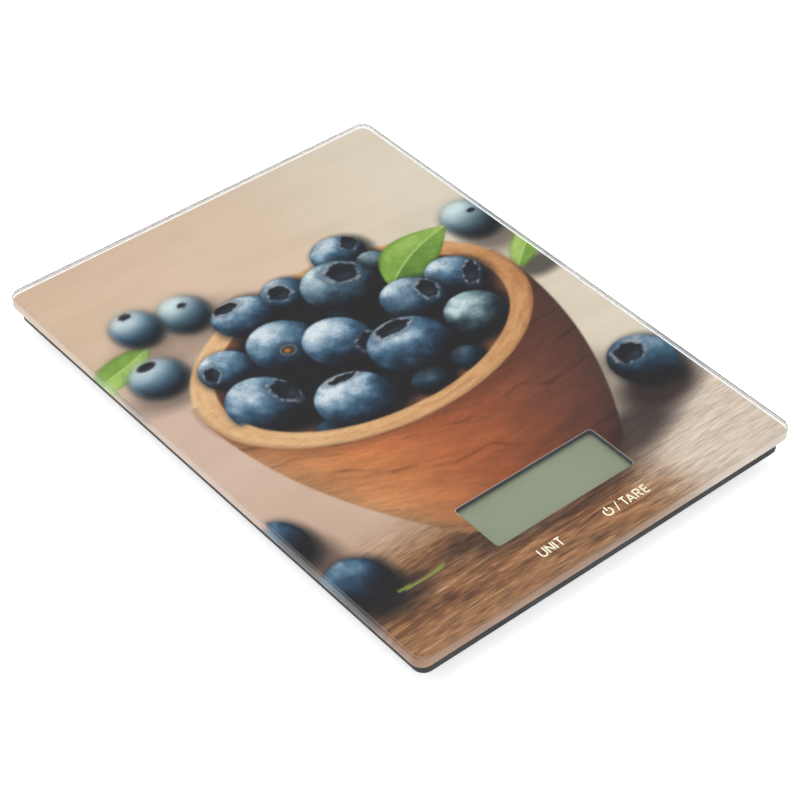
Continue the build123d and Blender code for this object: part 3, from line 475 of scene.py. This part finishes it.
def round_outer_corners(x, y, half_x, half_y, radius):
    """Maps each corner's square of the grid onto its quarter disc."""
    cx, cy = half_x - radius, half_y - radius
    u, v = (np.abs(x) - cx) / radius, (np.abs(y) - cy) / radius
    at_corner = (u > 0) & (v > 0)
    scale = np.where(at_corner, np.maximum(u, v) / np.maximum(np.hypot(u, v), 1e-9), 1.0)
    new_x = np.where(at_corner, np.sign(x) * (cx + u * scale * radius), x)
    new_y = np.where(at_corner, np.sign(y) * (cy + v * scale * radius), y)
    return new_x, new_y


def round_window_corners(x, y, low, high, radius):
    """Pulls the window edge's grid points near its corners onto arcs."""
    middle = ((low[0] + high[0]) / 2, (low[1] + high[1]) / 2)
    half = ((high[0] - low[0]) / 2, (high[1] - low[1]) / 2)
    dx, dy = x - middle[0], y - middle[1]
    u = (np.abs(dx) - half[0] + radius) / radius
    v = (np.abs(dy) - half[1] + radius) / radius
    tiny = 1e-6
    on_edge = (u > tiny) & (v > tiny) & (np.maximum(u, v) < 1 + tiny) & (np.maximum(u, v) > 1 - tiny)
    reach = np.maximum(np.hypot(u, v), tiny)
    new_x = middle[0] + np.sign(dx) * (half[0] - radius + u / reach * radius)
    new_y = middle[1] + np.sign(dy) * (half[1] - radius + v / reach * radius)
    return np.where(on_edge, new_x, x), np.where(on_edge, new_y, y)


def film_marks(low, high, half, radius):
    """Where grid lines have to fall along one axis: at the window's edges, and where each corner starts."""
    return [low, low + WINDOW_RADIUS, high - WINDOW_RADIUS, high, radius - half, half - radius]


def film_mesh():
    """The printed film as one closed sheet with its window, fine enough to carry the picture's colours."""
    half_x, half_y = PLATE_X - FILM_INSET, PLATE_Y - FILM_INSET
    radius = PLATE_RADIUS - FILM_INSET
    marks_x = film_marks(WINDOW_LOW[0], WINDOW_HIGH[0], half_x, radius)
    marks_y = film_marks(WINDOW_LOW[1], WINDOW_HIGH[1], half_y, radius)
    pitch_y = [(-half_y, FINE_LOW, FRONT_PITCH), (FINE_LOW, FINE_HIGH, FINE_PITCH),
               (FINE_HIGH, half_y, BACK_PITCH)]
    xs = grid_lines(-half_x, half_x, [(-half_x, half_x, FINE_PITCH)], marks_x)
    ys = grid_lines(-half_y, half_y, pitch_y, marks_y)
    x, y = np.meshgrid(xs, ys)
    x, y = round_window_corners(x, y, WINDOW_LOW, WINDOW_HIGH, WINDOW_RADIUS)
    x, y = round_outer_corners(x, y, half_x, half_y, radius)
    rows, columns = len(ys), len(xs)
    j, i = np.meshgrid(np.arange(rows - 1), np.arange(columns - 1), indexing="ij")
    middle_x, middle_y = (xs[i] + xs[i + 1]) / 2, (ys[j] + ys[j + 1]) / 2
    in_window = ((middle_x > WINDOW_LOW[0]) & (middle_x < WINDOW_HIGH[0])
                 & (middle_y > WINDOW_LOW[1]) & (middle_y < WINDOW_HIGH[1]))
    j, i = j[~in_window], i[~in_window]
    corner = j * columns + i
    faces = np.stack([corner, corner + 1, corner + columns + 1, corner + columns], -1)
    points = np.stack([x.ravel(), y.ravel(), np.full(x.size, FILM_TOP)], -1)
    mesh = bpy.data.meshes.new("printed_film")
    mesh.from_pydata(points.tolist(), [], faces.tolist())
    shape = bmesh.new()
    shape.from_mesh(mesh)
    bmesh.ops.delete(shape, geom=[v for v in shape.verts if not v.link_faces], context="VERTS")
    rim = [e for e in shape.edges if len(e.link_faces) == 1]
    wall = bmesh.ops.extrude_edge_only(shape, edges=rim)["geom"]
    for vertex in [g for g in wall if isinstance(g, bmesh.types.BMVert)]:
        vertex.co.z = FILM_TOP - FILM_THICKNESS
    lower = [g for g in wall if isinstance(g, bmesh.types.BMEdge) and len(g.link_faces) == 1
             and all(v.co.z < FILM_TOP - FILM_THICKNESS / 2 for v in g.verts)]
    bmesh.ops.triangle_fill(shape, edges=lower, use_beauty=True)
    bmesh.ops.recalc_face_normals(shape, faces=shape.faces)
    shape.to_mesh(mesh)
    shape.free()
    return mesh


def to_linear(value):
    """Linear light from a colour of 0 to 255."""
    value = np.clip(value, 0, 255) / 255.0
    return np.where(value <= 0.04045, value / 12.92, ((value + 0.055) / 1.055) ** 2.4)


def paint(mesh):
    """Stores the picture's colours and kinds on the film's points."""
    places = np.empty(len(mesh.vertices) * 3)
    mesh.vertices.foreach_get("co", places)
    places = places.reshape(-1, 3)
    rgb, kinds = picture(places[:, 0], places[:, 1])
    ink = np.clip(to_linear(rgb) - PRINT_VEIL, 0.001, None) * PRINT_GAIN
    for name, values in (("print", ink), ("kind", kinds)):
        layer = mesh.color_attributes.new(name, "FLOAT_COLOR", "POINT")
        rgba = np.concatenate([values, np.ones((len(values), 1))], -1)
        layer.data.foreach_set("color", rgba.astype(np.float32).ravel())


def plate_outline(inset, steps=10):
    """A rounded rectangle, inside the plate's own outline by inset, counter-clockwise."""
    radius = PLATE_RADIUS - inset
    points = []
    for k, (sx, sy) in enumerate(((1, 1), (-1, 1), (-1, -1), (1, -1))):
        cx, cy = sx * (PLATE_X - PLATE_RADIUS), sy * (PLATE_Y - PLATE_RADIUS)
        for step in range(steps + 1):
            a = math.radians(90 * k + 90 * step / steps)
            points.append((cx + radius * math.cos(a), cy + radius * math.sin(a)))
    return points


def glass_mesh():
    """Polished faces, and a ground edge with painted light and a painted dark arris at the back and right.
    """
    bevel = []
    for degrees in (90, 67, 45, 22, 0):
        turn = math.radians(degrees)
        bevel.append((GLASS_ARRIS * (1 - math.cos(turn)), GLASS_ARRIS * (1 - math.sin(turn))))
    levels = [(inset, GLASS_TOP - drop) for inset, drop in bevel]
    levels += [(inset, GLASS_BOTTOM + drop) for inset, drop in reversed(bevel)]
    shape = bmesh.new()
    loops = [[shape.verts.new((x, y, z)) for x, y in plate_outline(inset)] for inset, z in levels]
    count = len(loops[0])
    for level, (upper, lower) in enumerate(zip(loops, loops[1:])):
        for k in range(count):
            n = (k + 1) % count
            wall = shape.faces.new((upper[k], lower[k], lower[n], upper[n]))
            along = (lower[n].co - lower[k].co).xy.normalized()
            facing = Vector((along.y, -along.x))
            # Near walls stay ground glass; walls that face the back and right are painted whiter, as lit by
            # scattered light.
            if facing.dot(FAR_CORNER) <= FAR_SHARE:
                wall.material_index = GROUND
            # The top bevel's upper bands at the back and right: a painted dark line of shade.
            elif level < ARRIS_BANDS:
                wall.material_index = ARRIS
            else:
                wall.material_index = PAINTED_LIGHT_EDGE
    shape.faces.new(loops[0])
    shape.faces.new(list(reversed(loops[-1])))
    mesh = bpy.data.meshes.new("glass_plate")
    shape.to_mesh(mesh)
    shape.free()
    return mesh


def stroke(shape, points, width):
    """Adds a flat solid line with square ends and mitred corners to a bmesh of printed ink."""
    points = [Vector(p) for p in points]
    count = len(points)
    sides = []
    for k, point in enumerate(points):
        legs = [(points[n] - points[n - 1]).normalized() for n in (k, k + 1) if 0 < n < count]
        along = sum(legs, Vector((0, 0))).normalized()
        normal = Vector((-along.y, along.x))
        stretch = 1 / max(MITRE_LIMIT, normal.dot(Vector((-legs[0].y, legs[0].x))))
        offset = normal * (width / 2 * stretch)
        left, right = point + offset, point - offset
        ring = [(left, INK_TOP), (right, INK_TOP), (right, INK_BOTTOM), (left, INK_BOTTOM)]
        sides.append([shape.verts.new((p.x, p.y, z)) for p, z in ring])
    for a, b in zip(sides, sides[1:]):
        for k in range(4):
            n = (k + 1) % 4
            shape.faces.new((a[k], a[n], b[n], b[k]))
    shape.faces.new(list(reversed(sides[0])))
    shape.faces.new(sides[-1])


def arc(cx, cy, rx, ry, start, end, steps=12):
    """Points along an elliptical arc, in degrees."""
    turns = [math.radians(start + (end - start) * k / steps) for k in range(steps + 1)]
    return [(cx + rx * math.cos(a), cy + ry * math.sin(a)) for a in turns]


# Plain stroke letters: width, then strokes, in units of the capital height.
LETTERS = {
    "U": (0.62, [[(0, 1)] + arc(0.31, 0.30, 0.31, 0.30, 180, 360) + [(0.62, 1)]]),
    "N": (0.64, [[(0, 0), (0, 1)], [(0, 1), (0.64, 0)], [(0.64, 0), (0.64, 1)]]),
    "I": (0.0, [[(0, 0), (0, 1)]]),
    "T": (0.62, [[(0, 1), (0.62, 1)], [(0.31, 0.95), (0.31, 0)]]),
    "A": (0.72, [[(0, 0), (0.36, 1)], [(0.36, 1), (0.72, 0)], [(0.13, 0.31), (0.59, 0.31)]]),
    "R": (0.58, [[(0, 0), (0, 1)], [(0, 1)] + arc(0.30, 0.745, 0.25, 0.255, 90, -90) + [(0, 0.49)],
                 [(0.28, 0.49), (0.58, 0)]]),
    "E": (0.50, [[(0, 0), (0, 1)], [(0, 0.955), (0.50, 0.955)], [(0, 0.50), (0.45, 0.50)],
                 [(0, 0.045), (0.50, 0.045)]]),
    "/": (0.42, [[(0, -0.08), (0.42, 1.08)]]),
}
KERNING = {"TA": 0.28, "AR": 0.08}          # pairs that stand closer together


def label_mesh(word, left, right, line=LETTER_LINE):
    """A word of stroke letters, fitted between left and right."""
    widths = sum(LETTERS[c][0] + line for c in word)
    joins = list(zip(word, word[1:]))
    kerns = [KERNING.get(a + b, 0.0) for a, b in joins]
    gap = ((right - left) / CAP_HEIGHT - widths + sum(kerns)) / max(1, len(joins))
    shape = bmesh.new()
    x = left / CAP_HEIGHT + line / 2
    for letter, kern in zip(word, kerns + [0.0]):
        width, strokes = LETTERS[letter]
        for points in strokes:
            placed = [((x + px) * CAP_HEIGHT, LABEL_BASE + py * CAP_HEIGHT) for px, py in points]
            stroke(shape, placed, line * CAP_HEIGHT)
        x += width + line + gap - kern
    return finish_ink(shape, "label")


def finish_ink(shape, name):
    bmesh.ops.recalc_face_normals(shape, faces=shape.faces)
    mesh = bpy.data.meshes.new(name)
    shape.to_mesh(mesh)
    shape.free()
    return mesh


def power_mesh():
    """The power symbol: an open ring with a bar at its top."""
    cx, cy = POWER_CENTRE
    shape = bmesh.new()
    stroke(shape, arc(cx, cy, POWER_RADIUS, POWER_RADIUS, 90 + POWER_GAP, 450 - POWER_GAP, 28), POWER_LINE)
    stroke(shape, [(cx, cy + 0.35), (cx, cy + 2.05)], POWER_LINE)
    return finish_ink(shape, "power_symbol")


def window_edge_mesh():
    """The light cut edge of the film that shows along the window's back and right sides."""
    out = CUT_EDGE_OFFSET
    low_x, high_x = WINDOW_LOW[0], WINDOW_HIGH[0]
    low_y, high_y = WINDOW_LOW[1], WINDOW_HIGH[1]
    r = WINDOW_RADIUS
    points = [(low_x - out, high_y - 2.4 * r), (low_x - out, high_y - 1.3 * r)]
    points += arc(low_x + r, high_y - r, r + out, r + out, 180, 90, 8)
    points += arc(high_x - r, high_y - r, r + out, r + out, 90, 0, 8)
    points += arc(high_x - r, low_y + r, r + out, r + out, 0, -60, 6)
    shape = bmesh.new()
    stroke(shape, points, CUT_EDGE_WIDTH)
    return finish_ink(shape, "window_edge")


# ---------------------------------------------------------------- materials
NOISE_ROUGHNESS = 0.55
NOISE_LOW, NOISE_HIGH = 0.3, 0.7            # most of a noise lies between these


class Surface:
    """One procedural material: its nodes, and short calls that add to them."""

    def __init__(self, name, **values):
        self.material = bpy.data.materials.new(name)
        self.material.use_nodes = True
        self.nodes = self.material.node_tree.nodes
        self.links = self.material.node_tree.links
        self.shader = self.nodes["Principled BSDF"]
        self.place = self.nodes.new("ShaderNodeTexCoord").outputs["Object"]
        self.last_bump = None
        for socket, value in values.items():
            self.shader.inputs[socket.replace("_", " ")].default_value = value

    def stretched(self, scale):
        """The place on the part, stretched by scale (x, y, z)."""
        node = self.nodes.new("ShaderNodeMapping")
        node.inputs["Scale"].default_value = scale
        self.links.new(self.place, node.inputs["Vector"])
        return node.outputs["Vector"]

    def noise(self, size, detail, stretch=None):
        """Noise whose features are about size metres across."""
        node = self.nodes.new("ShaderNodeTexNoise")
        node.inputs["Scale"].default_value = 1 / size
        node.inputs["Detail"].default_value = detail
        node.inputs["Roughness"].default_value = NOISE_ROUGHNESS
        self.links.new(self.stretched(stretch) if stretch else self.place, node.inputs["Vector"])
        return node.outputs["Fac"]

    def grains(self, size, jitter=1.0):
        """Cells about size metres across, 0 at each centre."""
        node = self.nodes.new("ShaderNodeTexVoronoi")
        node.inputs["Scale"].default_value = 1 / size
        node.inputs["Randomness"].default_value = jitter
        self.links.new(self.place, node.inputs["Vector"])
        return node.outputs["Distance"]

    def span(self, factor, low, high, start=NOISE_LOW, end=NOISE_HIGH):
        """Maps a factor between start and end to low and high."""
        node = self.nodes.new("ShaderNodeMapRange")
        for socket, value in (("From Min", start), ("From Max", end), ("To Min", low), ("To Max", high)):
            node.inputs[socket].default_value = value
        self.links.new(factor, node.inputs["Value"])
        return node.outputs["Result"]

    def tones(self, factor, stops):
        """Colours along a factor: (place, (r, g, b)) stops."""
        node = self.nodes.new("ShaderNodeValToRGB")
        ramp_stops = node.color_ramp.elements
        while len(ramp_stops) < len(stops):
            ramp_stops.new(0.5)
        for stop, (at, rgb) in zip(ramp_stops, stops):
            stop.position = at
            stop.color = (*rgb, 1)
        self.links.new(factor, node.inputs["Fac"])
        return node.outputs["Color"]

    def math(self, kind, a, b):
        """The result of one sum on two numbers or outputs."""
        node = self.nodes.new("ShaderNodeMath")
        node.operation = kind
        for socket, value in zip(node.inputs, (a, b)):
            if isinstance(value, (int, float)):
                socket.default_value = value
            else:
                self.links.new(value, socket)
        return node.outputs["Value"]

    def feed(self, socket, output):
        self.links.new(output, self.shader.inputs[socket])

    def colour(self, factor, dark, light, start=NOISE_LOW, end=NOISE_HIGH):
        """Takes the base colour from dark to light along a factor."""
        self.feed("Base Color", self.tones(factor, [(start, dark), (end, light)]))

    def gloss(self, factor, low, high):
        """Takes the roughness from low to high along a factor."""
        self.feed("Roughness", self.span(factor, low, high))

    def bump(self, height, depth, strength):
        """Adds relief. depth is in metres."""
        node = self.nodes.new("ShaderNodeBump")
        node.inputs["Distance"].default_value = depth
        node.inputs["Strength"].default_value = strength
        self.links.new(height, node.inputs["Height"])
        if self.last_bump:
            self.links.new(self.last_bump, node.inputs["Normal"])
        self.last_bump = node.outputs["Normal"]
        self.feed("Normal", self.last_bump)


def moulded_plastic(name, dark, light, rough=0.5, grain=0.0005, shine=0.5):
    """Moulded plastic with a fine spark-eroded texture and slight wear in its gloss."""
    surface = Surface(name, IOR=1.5, Specular_IOR_Level=shine)
    broad = surface.noise(0.03, 3)
    surface.colour(broad, dark, light, 0.32, 0.68)
    surface.gloss(surface.noise(0.012, 4), rough - 0.07, rough + 0.09)
    surface.bump(surface.grains(grain), 0.00003, 0.5)
    surface.bump(surface.noise(grain / 3, 2), 0.000015, 0.5)
    return surface.material


def clouded(name, mottle, dark, light, clouds, low, high, relief=None, **values):
    """A material whose colour and gloss are clouded.

    mottle and clouds are what the noise of its colour and of its roughness take. relief is what its bumps'
    noise takes, then their depth and strength.
    """
    surface = Surface(name, **values)
    surface.colour(surface.noise(*mottle), dark, light)
    surface.gloss(surface.noise(*clouds), low, high)
    if relief:
        grain, depth, strength = relief
        surface.bump(surface.noise(*grain), depth, strength)
    return surface.material


def rubber(name, dark, light):
    return clouded(name, (0.004, 4), dark, light, (0.0015, 3), 0.72, 0.88, ((0.0003, 3), 0.00003, 0.6),
                   IOR=1.52, Sheen_Weight=0.15, Sheen_Roughness=0.5)


def metal(name, dark, light, rough, stretch, grain=0.0006):
    """Plated or brushed metal: fine streaks, and clouded gloss."""
    surface = Surface(name, Metallic=1.0)
    streak = surface.noise(grain, 3, stretch)
    surface.colour(streak, dark, light)
    surface.gloss(surface.noise(0.003, 4), rough - 0.08, rough + 0.12)
    surface.bump(streak, 0.000006, 0.6)
    return surface.material


def foam(name, dark, light):
    surface = Surface(name, IOR=1.4)
    cells = surface.grains(0.00035)
    surface.colour(cells, dark, light, start=0.1)
    surface.feed("Roughness", surface.span(cells, 0.85, 0.98, 0.0, 1.0))
    surface.bump(cells, 0.0001, 0.8)
    return surface.material


def wire_sheath(name, dark, light):
    return clouded(name, (0.002, 3), dark, light, (0.0008, 2), 0.38, 0.52, ((0.0004, 2), 0.00001, 0.4),
                   IOR=1.5, Coat_Weight=0.12, Coat_Roughness=0.3)


def film_print():
    """The print: the picture on the film's points, with grain, pores and bloom finer than its mesh."""
    surface = Surface("film_print", IOR=1.45, Specular_IOR_Level=0.12)
    nodes, links = surface.nodes, surface.links
    picture_colour = nodes.new("ShaderNodeAttribute")
    picture_colour.attribute_name = "print"
    kind = nodes.new("ShaderNodeAttribute")
    kind.attribute_name = "kind"
    shares = nodes.new("ShaderNodeSeparateColor")
    links.new(kind.outputs["Color"], shares.inputs["Color"])
    fine_grain = surface.span(surface.noise(0.00040, 4, (0.07, 1.0, 1.0)), -0.60, 0.62)
    wide_grain = surface.span(surface.noise(0.0016, 2, (0.10, 1.0, 1.0)), -0.22, 0.22)
    table_grain = surface.math("ADD", fine_grain, wide_grain)
    wood_grain = surface.span(surface.noise(0.0008, 3, (0.3, 1.0, 1.0)), -0.09, 0.09)
    skin_bloom = surface.span(surface.noise(0.0008, 3), -0.14, 0.14)
    total = surface.math("MULTIPLY", shares.outputs["Red"], table_grain)
    total = surface.math("ADD", total, surface.math("MULTIPLY", shares.outputs["Green"], wood_grain))
    total = surface.math("ADD", total, surface.math("MULTIPLY", shares.outputs["Blue"], skin_bloom))
    dots = surface.span(surface.noise(0.00025, 1), -0.02, 0.02)
    gain = surface.math("ADD", surface.math("ADD", total, dots), 1.0)
    shaded = nodes.new("ShaderNodeVectorMath")
    shaded.operation = "SCALE"
    links.new(picture_colour.outputs["Color"], shaded.inputs[0])
    links.new(gain, shaded.inputs["Scale"])
    surface.feed("Base Color", shaded.outputs["Vector"])
    surface.gloss(surface.noise(0.002, 2), 0.42, 0.55)
    return surface.material


def label_ink(name, dark, light):
    return clouded(name, (0.0006, 2), dark, light, (0.001, 2), 0.5, 0.62, IOR=1.45, Specular_IOR_Level=0.12)


def polished_glass():
    tint = (0.975, 0.992, 0.984, 1)
    surface = Surface("polished_glass", IOR=1.52, Transmission_Weight=1.0, Base_Color=tint)
    surface.gloss(surface.noise(0.02, 3), 0.0, 0.012)
    surface.bump(surface.noise(0.03, 2), 0.00002, 0.06)
    return surface.material


EDGE_RELIEF = ((0.0006, 3, (0.5, 0.5, 2.0)), 0.00002, 0.12)


def ground_glass():
    """The plate's edge, ground and then half polished."""
    return clouded("ground_glass", (0.01, 3), (0.73, 0.74, 0.72), (0.79, 0.80, 0.78),
                   (0.0012, 3), 0.34, 0.46,
                   EDGE_RELIEF, IOR=1.52, Transmission_Weight=1.0)


def far_edge_painted_light():
    """The far ground edge, painted whiter to stand in for scattered light."""
    return clouded("far_edge_painted_light", (0.01, 3), (0.70, 0.73, 0.75), (0.78, 0.81, 0.82),
                   (0.0012, 3), 0.6, 0.75,
                   EDGE_RELIEF, IOR=1.52, Specular_IOR_Level=0.2, Transmission_Weight=0.45)


def arris_painted_shade():
    """The narrow ground bevel at the top of the far edges, painted dark as shade, which reads as a grey
    line.
    """
    return clouded("arris_painted_shade", (0.012, 3), (0.025, 0.028, 0.027), (0.045, 0.048, 0.047),
                   (0.002, 3), 0.5, 0.65,
                   IOR=1.52, Specular_IOR_Level=0.1)


def display_glass():
    return clouded("display_glass", (0.008, 3), (0.28, 0.33, 0.27), (0.33, 0.38, 0.31),
                   (0.004, 2), 0.08, 0.16,
                   IOR=1.5, Coat_Weight=0.5, Coat_Roughness=0.05)


def display_polariser():
    """A grey-green display with nothing on it, faintly mottled."""
    return clouded("display_polariser", (0.02, 2), (0.170, 0.197, 0.125), (0.186, 0.215, 0.139),
                   (0.0006, 2), 0.34, 0.44, ((0.0002, 2), 0.000006, 0.4), IOR=1.48, Specular_IOR_Level=0.35)


def display_reflector():
    return clouded("display_reflector", (0.003, 2), (0.55, 0.58, 0.53), (0.66, 0.69, 0.63),
                   (0.0004, 2), 0.4, 0.55, Metallic=0.8)


def circuit_board():
    """Green solder mask over copper: broad pours and thin tracks show through as paler green."""
    surface = Surface("circuit_board", IOR=1.5, Coat_Weight=0.35, Coat_Roughness=0.2)
    pours = surface.span(surface.noise(0.006, 1), 0.0, 0.5, 0.48, 0.52)
    tracks = surface.span(surface.grains(0.0035, 0.5), 0.35, 0.0, 0.2, 0.3)
    share = surface.math("ADD", pours, tracks)
    surface.colour(share, (0.012, 0.085, 0.035), (0.03, 0.16, 0.07), 0.2, 0.6)
    surface.gloss(surface.noise(0.002, 3), 0.28, 0.42)
    surface.bump(share, 0.00002, 0.5)
    return surface.material


def epoxy_blob():
    return clouded("epoxy_blob", (0.002, 2), (0.008, 0.008, 0.009), (0.02, 0.02, 0.021),
                   (0.0015, 3), 0.15, 0.3,
                   IOR=1.55, Coat_Weight=0.6, Coat_Roughness=0.08)


def chip_parts():
    """Small parts: dark bodies with tinned ends, told apart by blocks of noise."""
    surface = Surface("chip_parts", IOR=1.5)
    blocks = surface.noise(0.0009, 0)
    body, solder, tin = (0.03, 0.03, 0.035), (0.28, 0.24, 0.19), (0.5, 0.5, 0.5)
    surface.feed("Base Color", surface.tones(blocks, [(0.42, body), (0.48, solder), (0.56, tin)]))
    surface.feed("Metallic", surface.span(blocks, 0.0, 0.9, 0.53, 0.58))
    surface.gloss(surface.noise(0.0004, 2), 0.3, 0.5)
    return surface.material


def zebra_rubber():
    """The display's connector: black and pale layers in turn along its length."""
    surface = Surface("zebra_rubber", IOR=1.42)
    wave = surface.nodes.new("ShaderNodeTexWave")
    wave.inputs["Scale"].default_value = 900.0
    surface.links.new(surface.place, wave.inputs["Vector"])
    surface.colour(wave.outputs["Fac"], (0.02, 0.02, 0.02), (0.55, 0.4, 0.38), 0.35, 0.65)
    surface.gloss(surface.noise(0.0006, 2), 0.5, 0.65)
    return surface.material


def silicone_coat():
    return clouded("silicone_coat", (0.002, 3), (0.62, 0.62, 0.58), (0.78, 0.78, 0.75),
                   (0.001, 3), 0.3, 0.45,
                   ((0.0012, 2), 0.00006, 0.5), IOR=1.41, Subsurface_Weight=0.25, Subsurface_Scale=0.001)


def sticker_paper():
    """A blank satin sticker: fine fibre, and a slight silver tone."""
    surface = Surface("sticker_paper", IOR=1.45, Coat_Weight=0.25, Coat_Roughness=0.25)
    fibre = surface.noise(0.0005, 4, (1, 0.4, 1))
    surface.colour(fibre, (0.60, 0.61, 0.62), (0.70, 0.71, 0.72))
    surface.gloss(surface.noise(0.004, 3), 0.38, 0.5)
    surface.bump(fibre, 0.00001, 0.5)
    return surface.material


def cell_wires():
    """The grey sheath of the three thin wires from each load cell."""
    return clouded("cell_wires", (0.003, 2), (0.42, 0.42, 0.40), (0.56, 0.56, 0.54), (0.0008, 2), 0.4, 0.55,
                   ((0.0005, 2), 0.00001, 0.4), IOR=1.5, Coat_Weight=0.1, Coat_Roughness=0.3)


def floor_paint():
    return clouded("floor_paint", (0.4, 2), (0.90, 0.90, 0.90), (0.92, 0.92, 0.92), (0.3, 2), 0.85, 0.95,
                   IOR=1.4, Specular_IOR_Level=0.1, Emission_Color=(1, 1, 1, 1), Emission_Strength=0.55)


def dress(materials):
    """Gives each CAD node its material. materials is (material, node names) pairs."""
    for material, names in materials:
        for name in names:
            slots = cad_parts[name].data.materials
            if len(slots) == 0:
                slots.append(material)
            for k in range(len(slots)):
                slots[k] = material


def corners(kind):
    return [f"{kind}_{c}" for c in ("front_left", "front_right", "rear_left", "rear_right")]


# ---------------------------------------------------------------- the pieces
film = film_mesh()
paint(film)
printed_film = new_piece("printed_film", film, [film_print()])
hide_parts("decor_film")

cream = label_ink("cream_ink", (0.78, 0.74, 0.56), (0.86, 0.82, 0.64))
new_piece("label_unit", label_mesh("UNIT", -19.4, -10.4), [cream])
new_piece("label_power", power_mesh(), [cream])
new_piece("label_slash", label_mesh("/", 9.8, 11.5, SLASH_LINE), [cream])
new_piece("label_tare", label_mesh("TARE", 12.4, 22.8), [cream])
cut_edge = label_ink("cut_edge", (0.34, 0.29, 0.29), (0.42, 0.37, 0.36))
new_piece("window_edge", window_edge_mesh(), [cut_edge])

plate = glass_mesh()
slots = [p.material_index for p in plate.polygons]
glass = new_piece("glass_plate", plate,
                  [polished_glass(), ground_glass(), far_edge_painted_light(), arris_painted_shade()])
for polygon, slot in zip(plate.polygons, slots):
    polygon.use_smooth = slot != POLISHED
    polygon.material_index = slot
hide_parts("glass_platform")
# The light reaches the print and the display straight through the glass.
glass.visible_shadow = False
glass.visible_diffuse = False

dress([
    (moulded_plastic("case_plastic", (0.009, 0.0093, 0.0105), (0.014, 0.0145, 0.0165), 0.5, shine=0.25),
     ["base_case", "battery_cover"]),
    (moulded_plastic("frame_plastic", (0.030, 0.036, 0.048), (0.040, 0.047, 0.062), 0.55),
     ["upper_frame", "lcd_frame"]),
    (moulded_plastic("foot_plastic", (0.036, 0.037, 0.042), (0.050, 0.052, 0.058), 0.5, 0.0004),
     corners("foot")),
    (rubber("foot_rubber", (0.070, 0.070, 0.073), (0.105, 0.105, 0.11)), corners("foot_pad")),
    (sticker_paper(), ["blank_label"]),
    (metal("screw_steel", (0.46, 0.46, 0.49), (0.66, 0.66, 0.69), 0.28, (6, 6, 1)),
     ["case_screws", "pcb_screws"]),
    (metal("cell_steel", (0.58, 0.57, 0.55), (0.74, 0.73, 0.71), 0.24, (4, 1, 1)),
     ["cell_can", "cell_cap"]),
    (moulded_plastic("gasket_plastic", (0.26, 0.26, 0.27), (0.34, 0.34, 0.35), 0.5, 0.0003),
     ["cell_gasket"]),
    (metal("contact_metal", (0.60, 0.55, 0.42), (0.78, 0.73, 0.58), 0.3, (1, 8, 1)),
     ["contact_negative", "contact_positive"]),
    (wire_sheath("wire_red", (0.40, 0.012, 0.012), (0.55, 0.03, 0.025)), ["battery_lead_red"]),
    (wire_sheath("wire_black", (0.012, 0.012, 0.013), (0.03, 0.03, 0.03)), ["battery_lead_black"]),
    (cell_wires(), corners("cell_leads")),
    (circuit_board(), ["main_pcb"]),
    (epoxy_blob(), ["controller_blob"]),
    (chip_parts(), ["pcb_components"]),
    (display_glass(), ["lcd_front_glass", "lcd_rear_glass"]),
    (display_polariser(), ["lcd_polariser"]),
    (display_reflector(), ["lcd_reflector"]),
    (zebra_rubber(), ["zebra_strip"]),
    (foam("key_foam", (0.02, 0.02, 0.02), (0.07, 0.07, 0.07)), ["touch_pad_unit", "touch_pad_tare"]),
    (foam("tape_foam", (0.03, 0.03, 0.03), (0.09, 0.09, 0.09)), ["glass_tape"]),
    (metal("load_cell_steel", (0.44, 0.44, 0.45), (0.64, 0.64, 0.65), 0.3, (1, 14, 1), 0.0005),
     corners("load_cell")),
    (silicone_coat(), corners("gauge_coating")),
])


# ---------------------------------------------------------------- floor, light and camera
def make_floor():
    shape = bmesh.new()
    bmesh.ops.create_grid(shape, x_segments=8, y_segments=8, size=FLOOR_HALF)
    mesh = bpy.data.meshes.new("floor")
    shape.to_mesh(mesh)
    shape.free()
    mesh.materials.append(floor_paint())
    floor = bpy.data.objects.new("floor", mesh)
    floor.location.z = cad_low[2] - FLOOR_DROP
    bpy.context.scene.collection.objects.link(floor)


def softbox(name, place, size, power):
    """A round lamp that points at the object. Metres and watts."""
    data = bpy.data.lights.new(name, "AREA")
    data.shape = "DISK"
    data.size = size
    data.energy = power
    light = bpy.data.objects.new(name, data)
    light.location = place
    light.rotation_euler = (-Vector(place)).to_track_quat("-Z", "Y").to_euler()
    bpy.context.scene.collection.objects.link(light)


def make_camera():
    data = bpy.data.cameras.new("camera")
    data.lens = CAMERA_LENS
    data.clip_start = 0.01
    camera = bpy.data.objects.new("camera", data)
    turn = (CAMERA_TARGET - CAMERA_PLACE).to_track_quat("-Z", "Y").to_matrix().to_4x4()
    camera.matrix_world = Matrix.Translation(CAMERA_PLACE) @ turn @ Matrix.Rotation(CAMERA_ROLL, 4, "Z")
    bpy.context.scene.collection.objects.link(camera)
    bpy.context.scene.camera = camera


def make_world():
    """Even grey light that is brighter from above."""
    world = bpy.data.worlds.new("studio")
    world.use_nodes = True
    nodes, links = world.node_tree.nodes, world.node_tree.links
    direction = nodes.new("ShaderNodeSeparateXYZ")
    links.new(nodes.new("ShaderNodeTexCoord").outputs["Generated"], direction.inputs["Vector"])
    shade = nodes.new("ShaderNodeValToRGB")
    tones = ((0.02, (0.09, 0.09, 0.095)), (0.85, (0.40, 0.40, 0.41)))
    for stop, (at, tone) in zip(shade.color_ramp.elements, tones):
        stop.position = at
        stop.color = (*tone, 1)
    links.new(direction.outputs["Z"], shade.inputs["Fac"])
    links.new(shade.outputs["Color"], nodes["Background"].inputs["Color"])
    bpy.context.scene.world = world


make_floor()
make_world()
softbox("top_light", (0.05, 0.30, 1.60), 1.5, 23.0)
softbox("back_light", (-0.95, 1.05, 0.95), 1.1, 7.0)
softbox("front_light", (-0.75, -1.15, 0.90), 1.2, 9.0)
softbox("right_light", (1.35, -0.35, 0.80), 1.0, 4.5)
make_camera()
bpy.context.scene.view_settings.view_transform = "Standard"
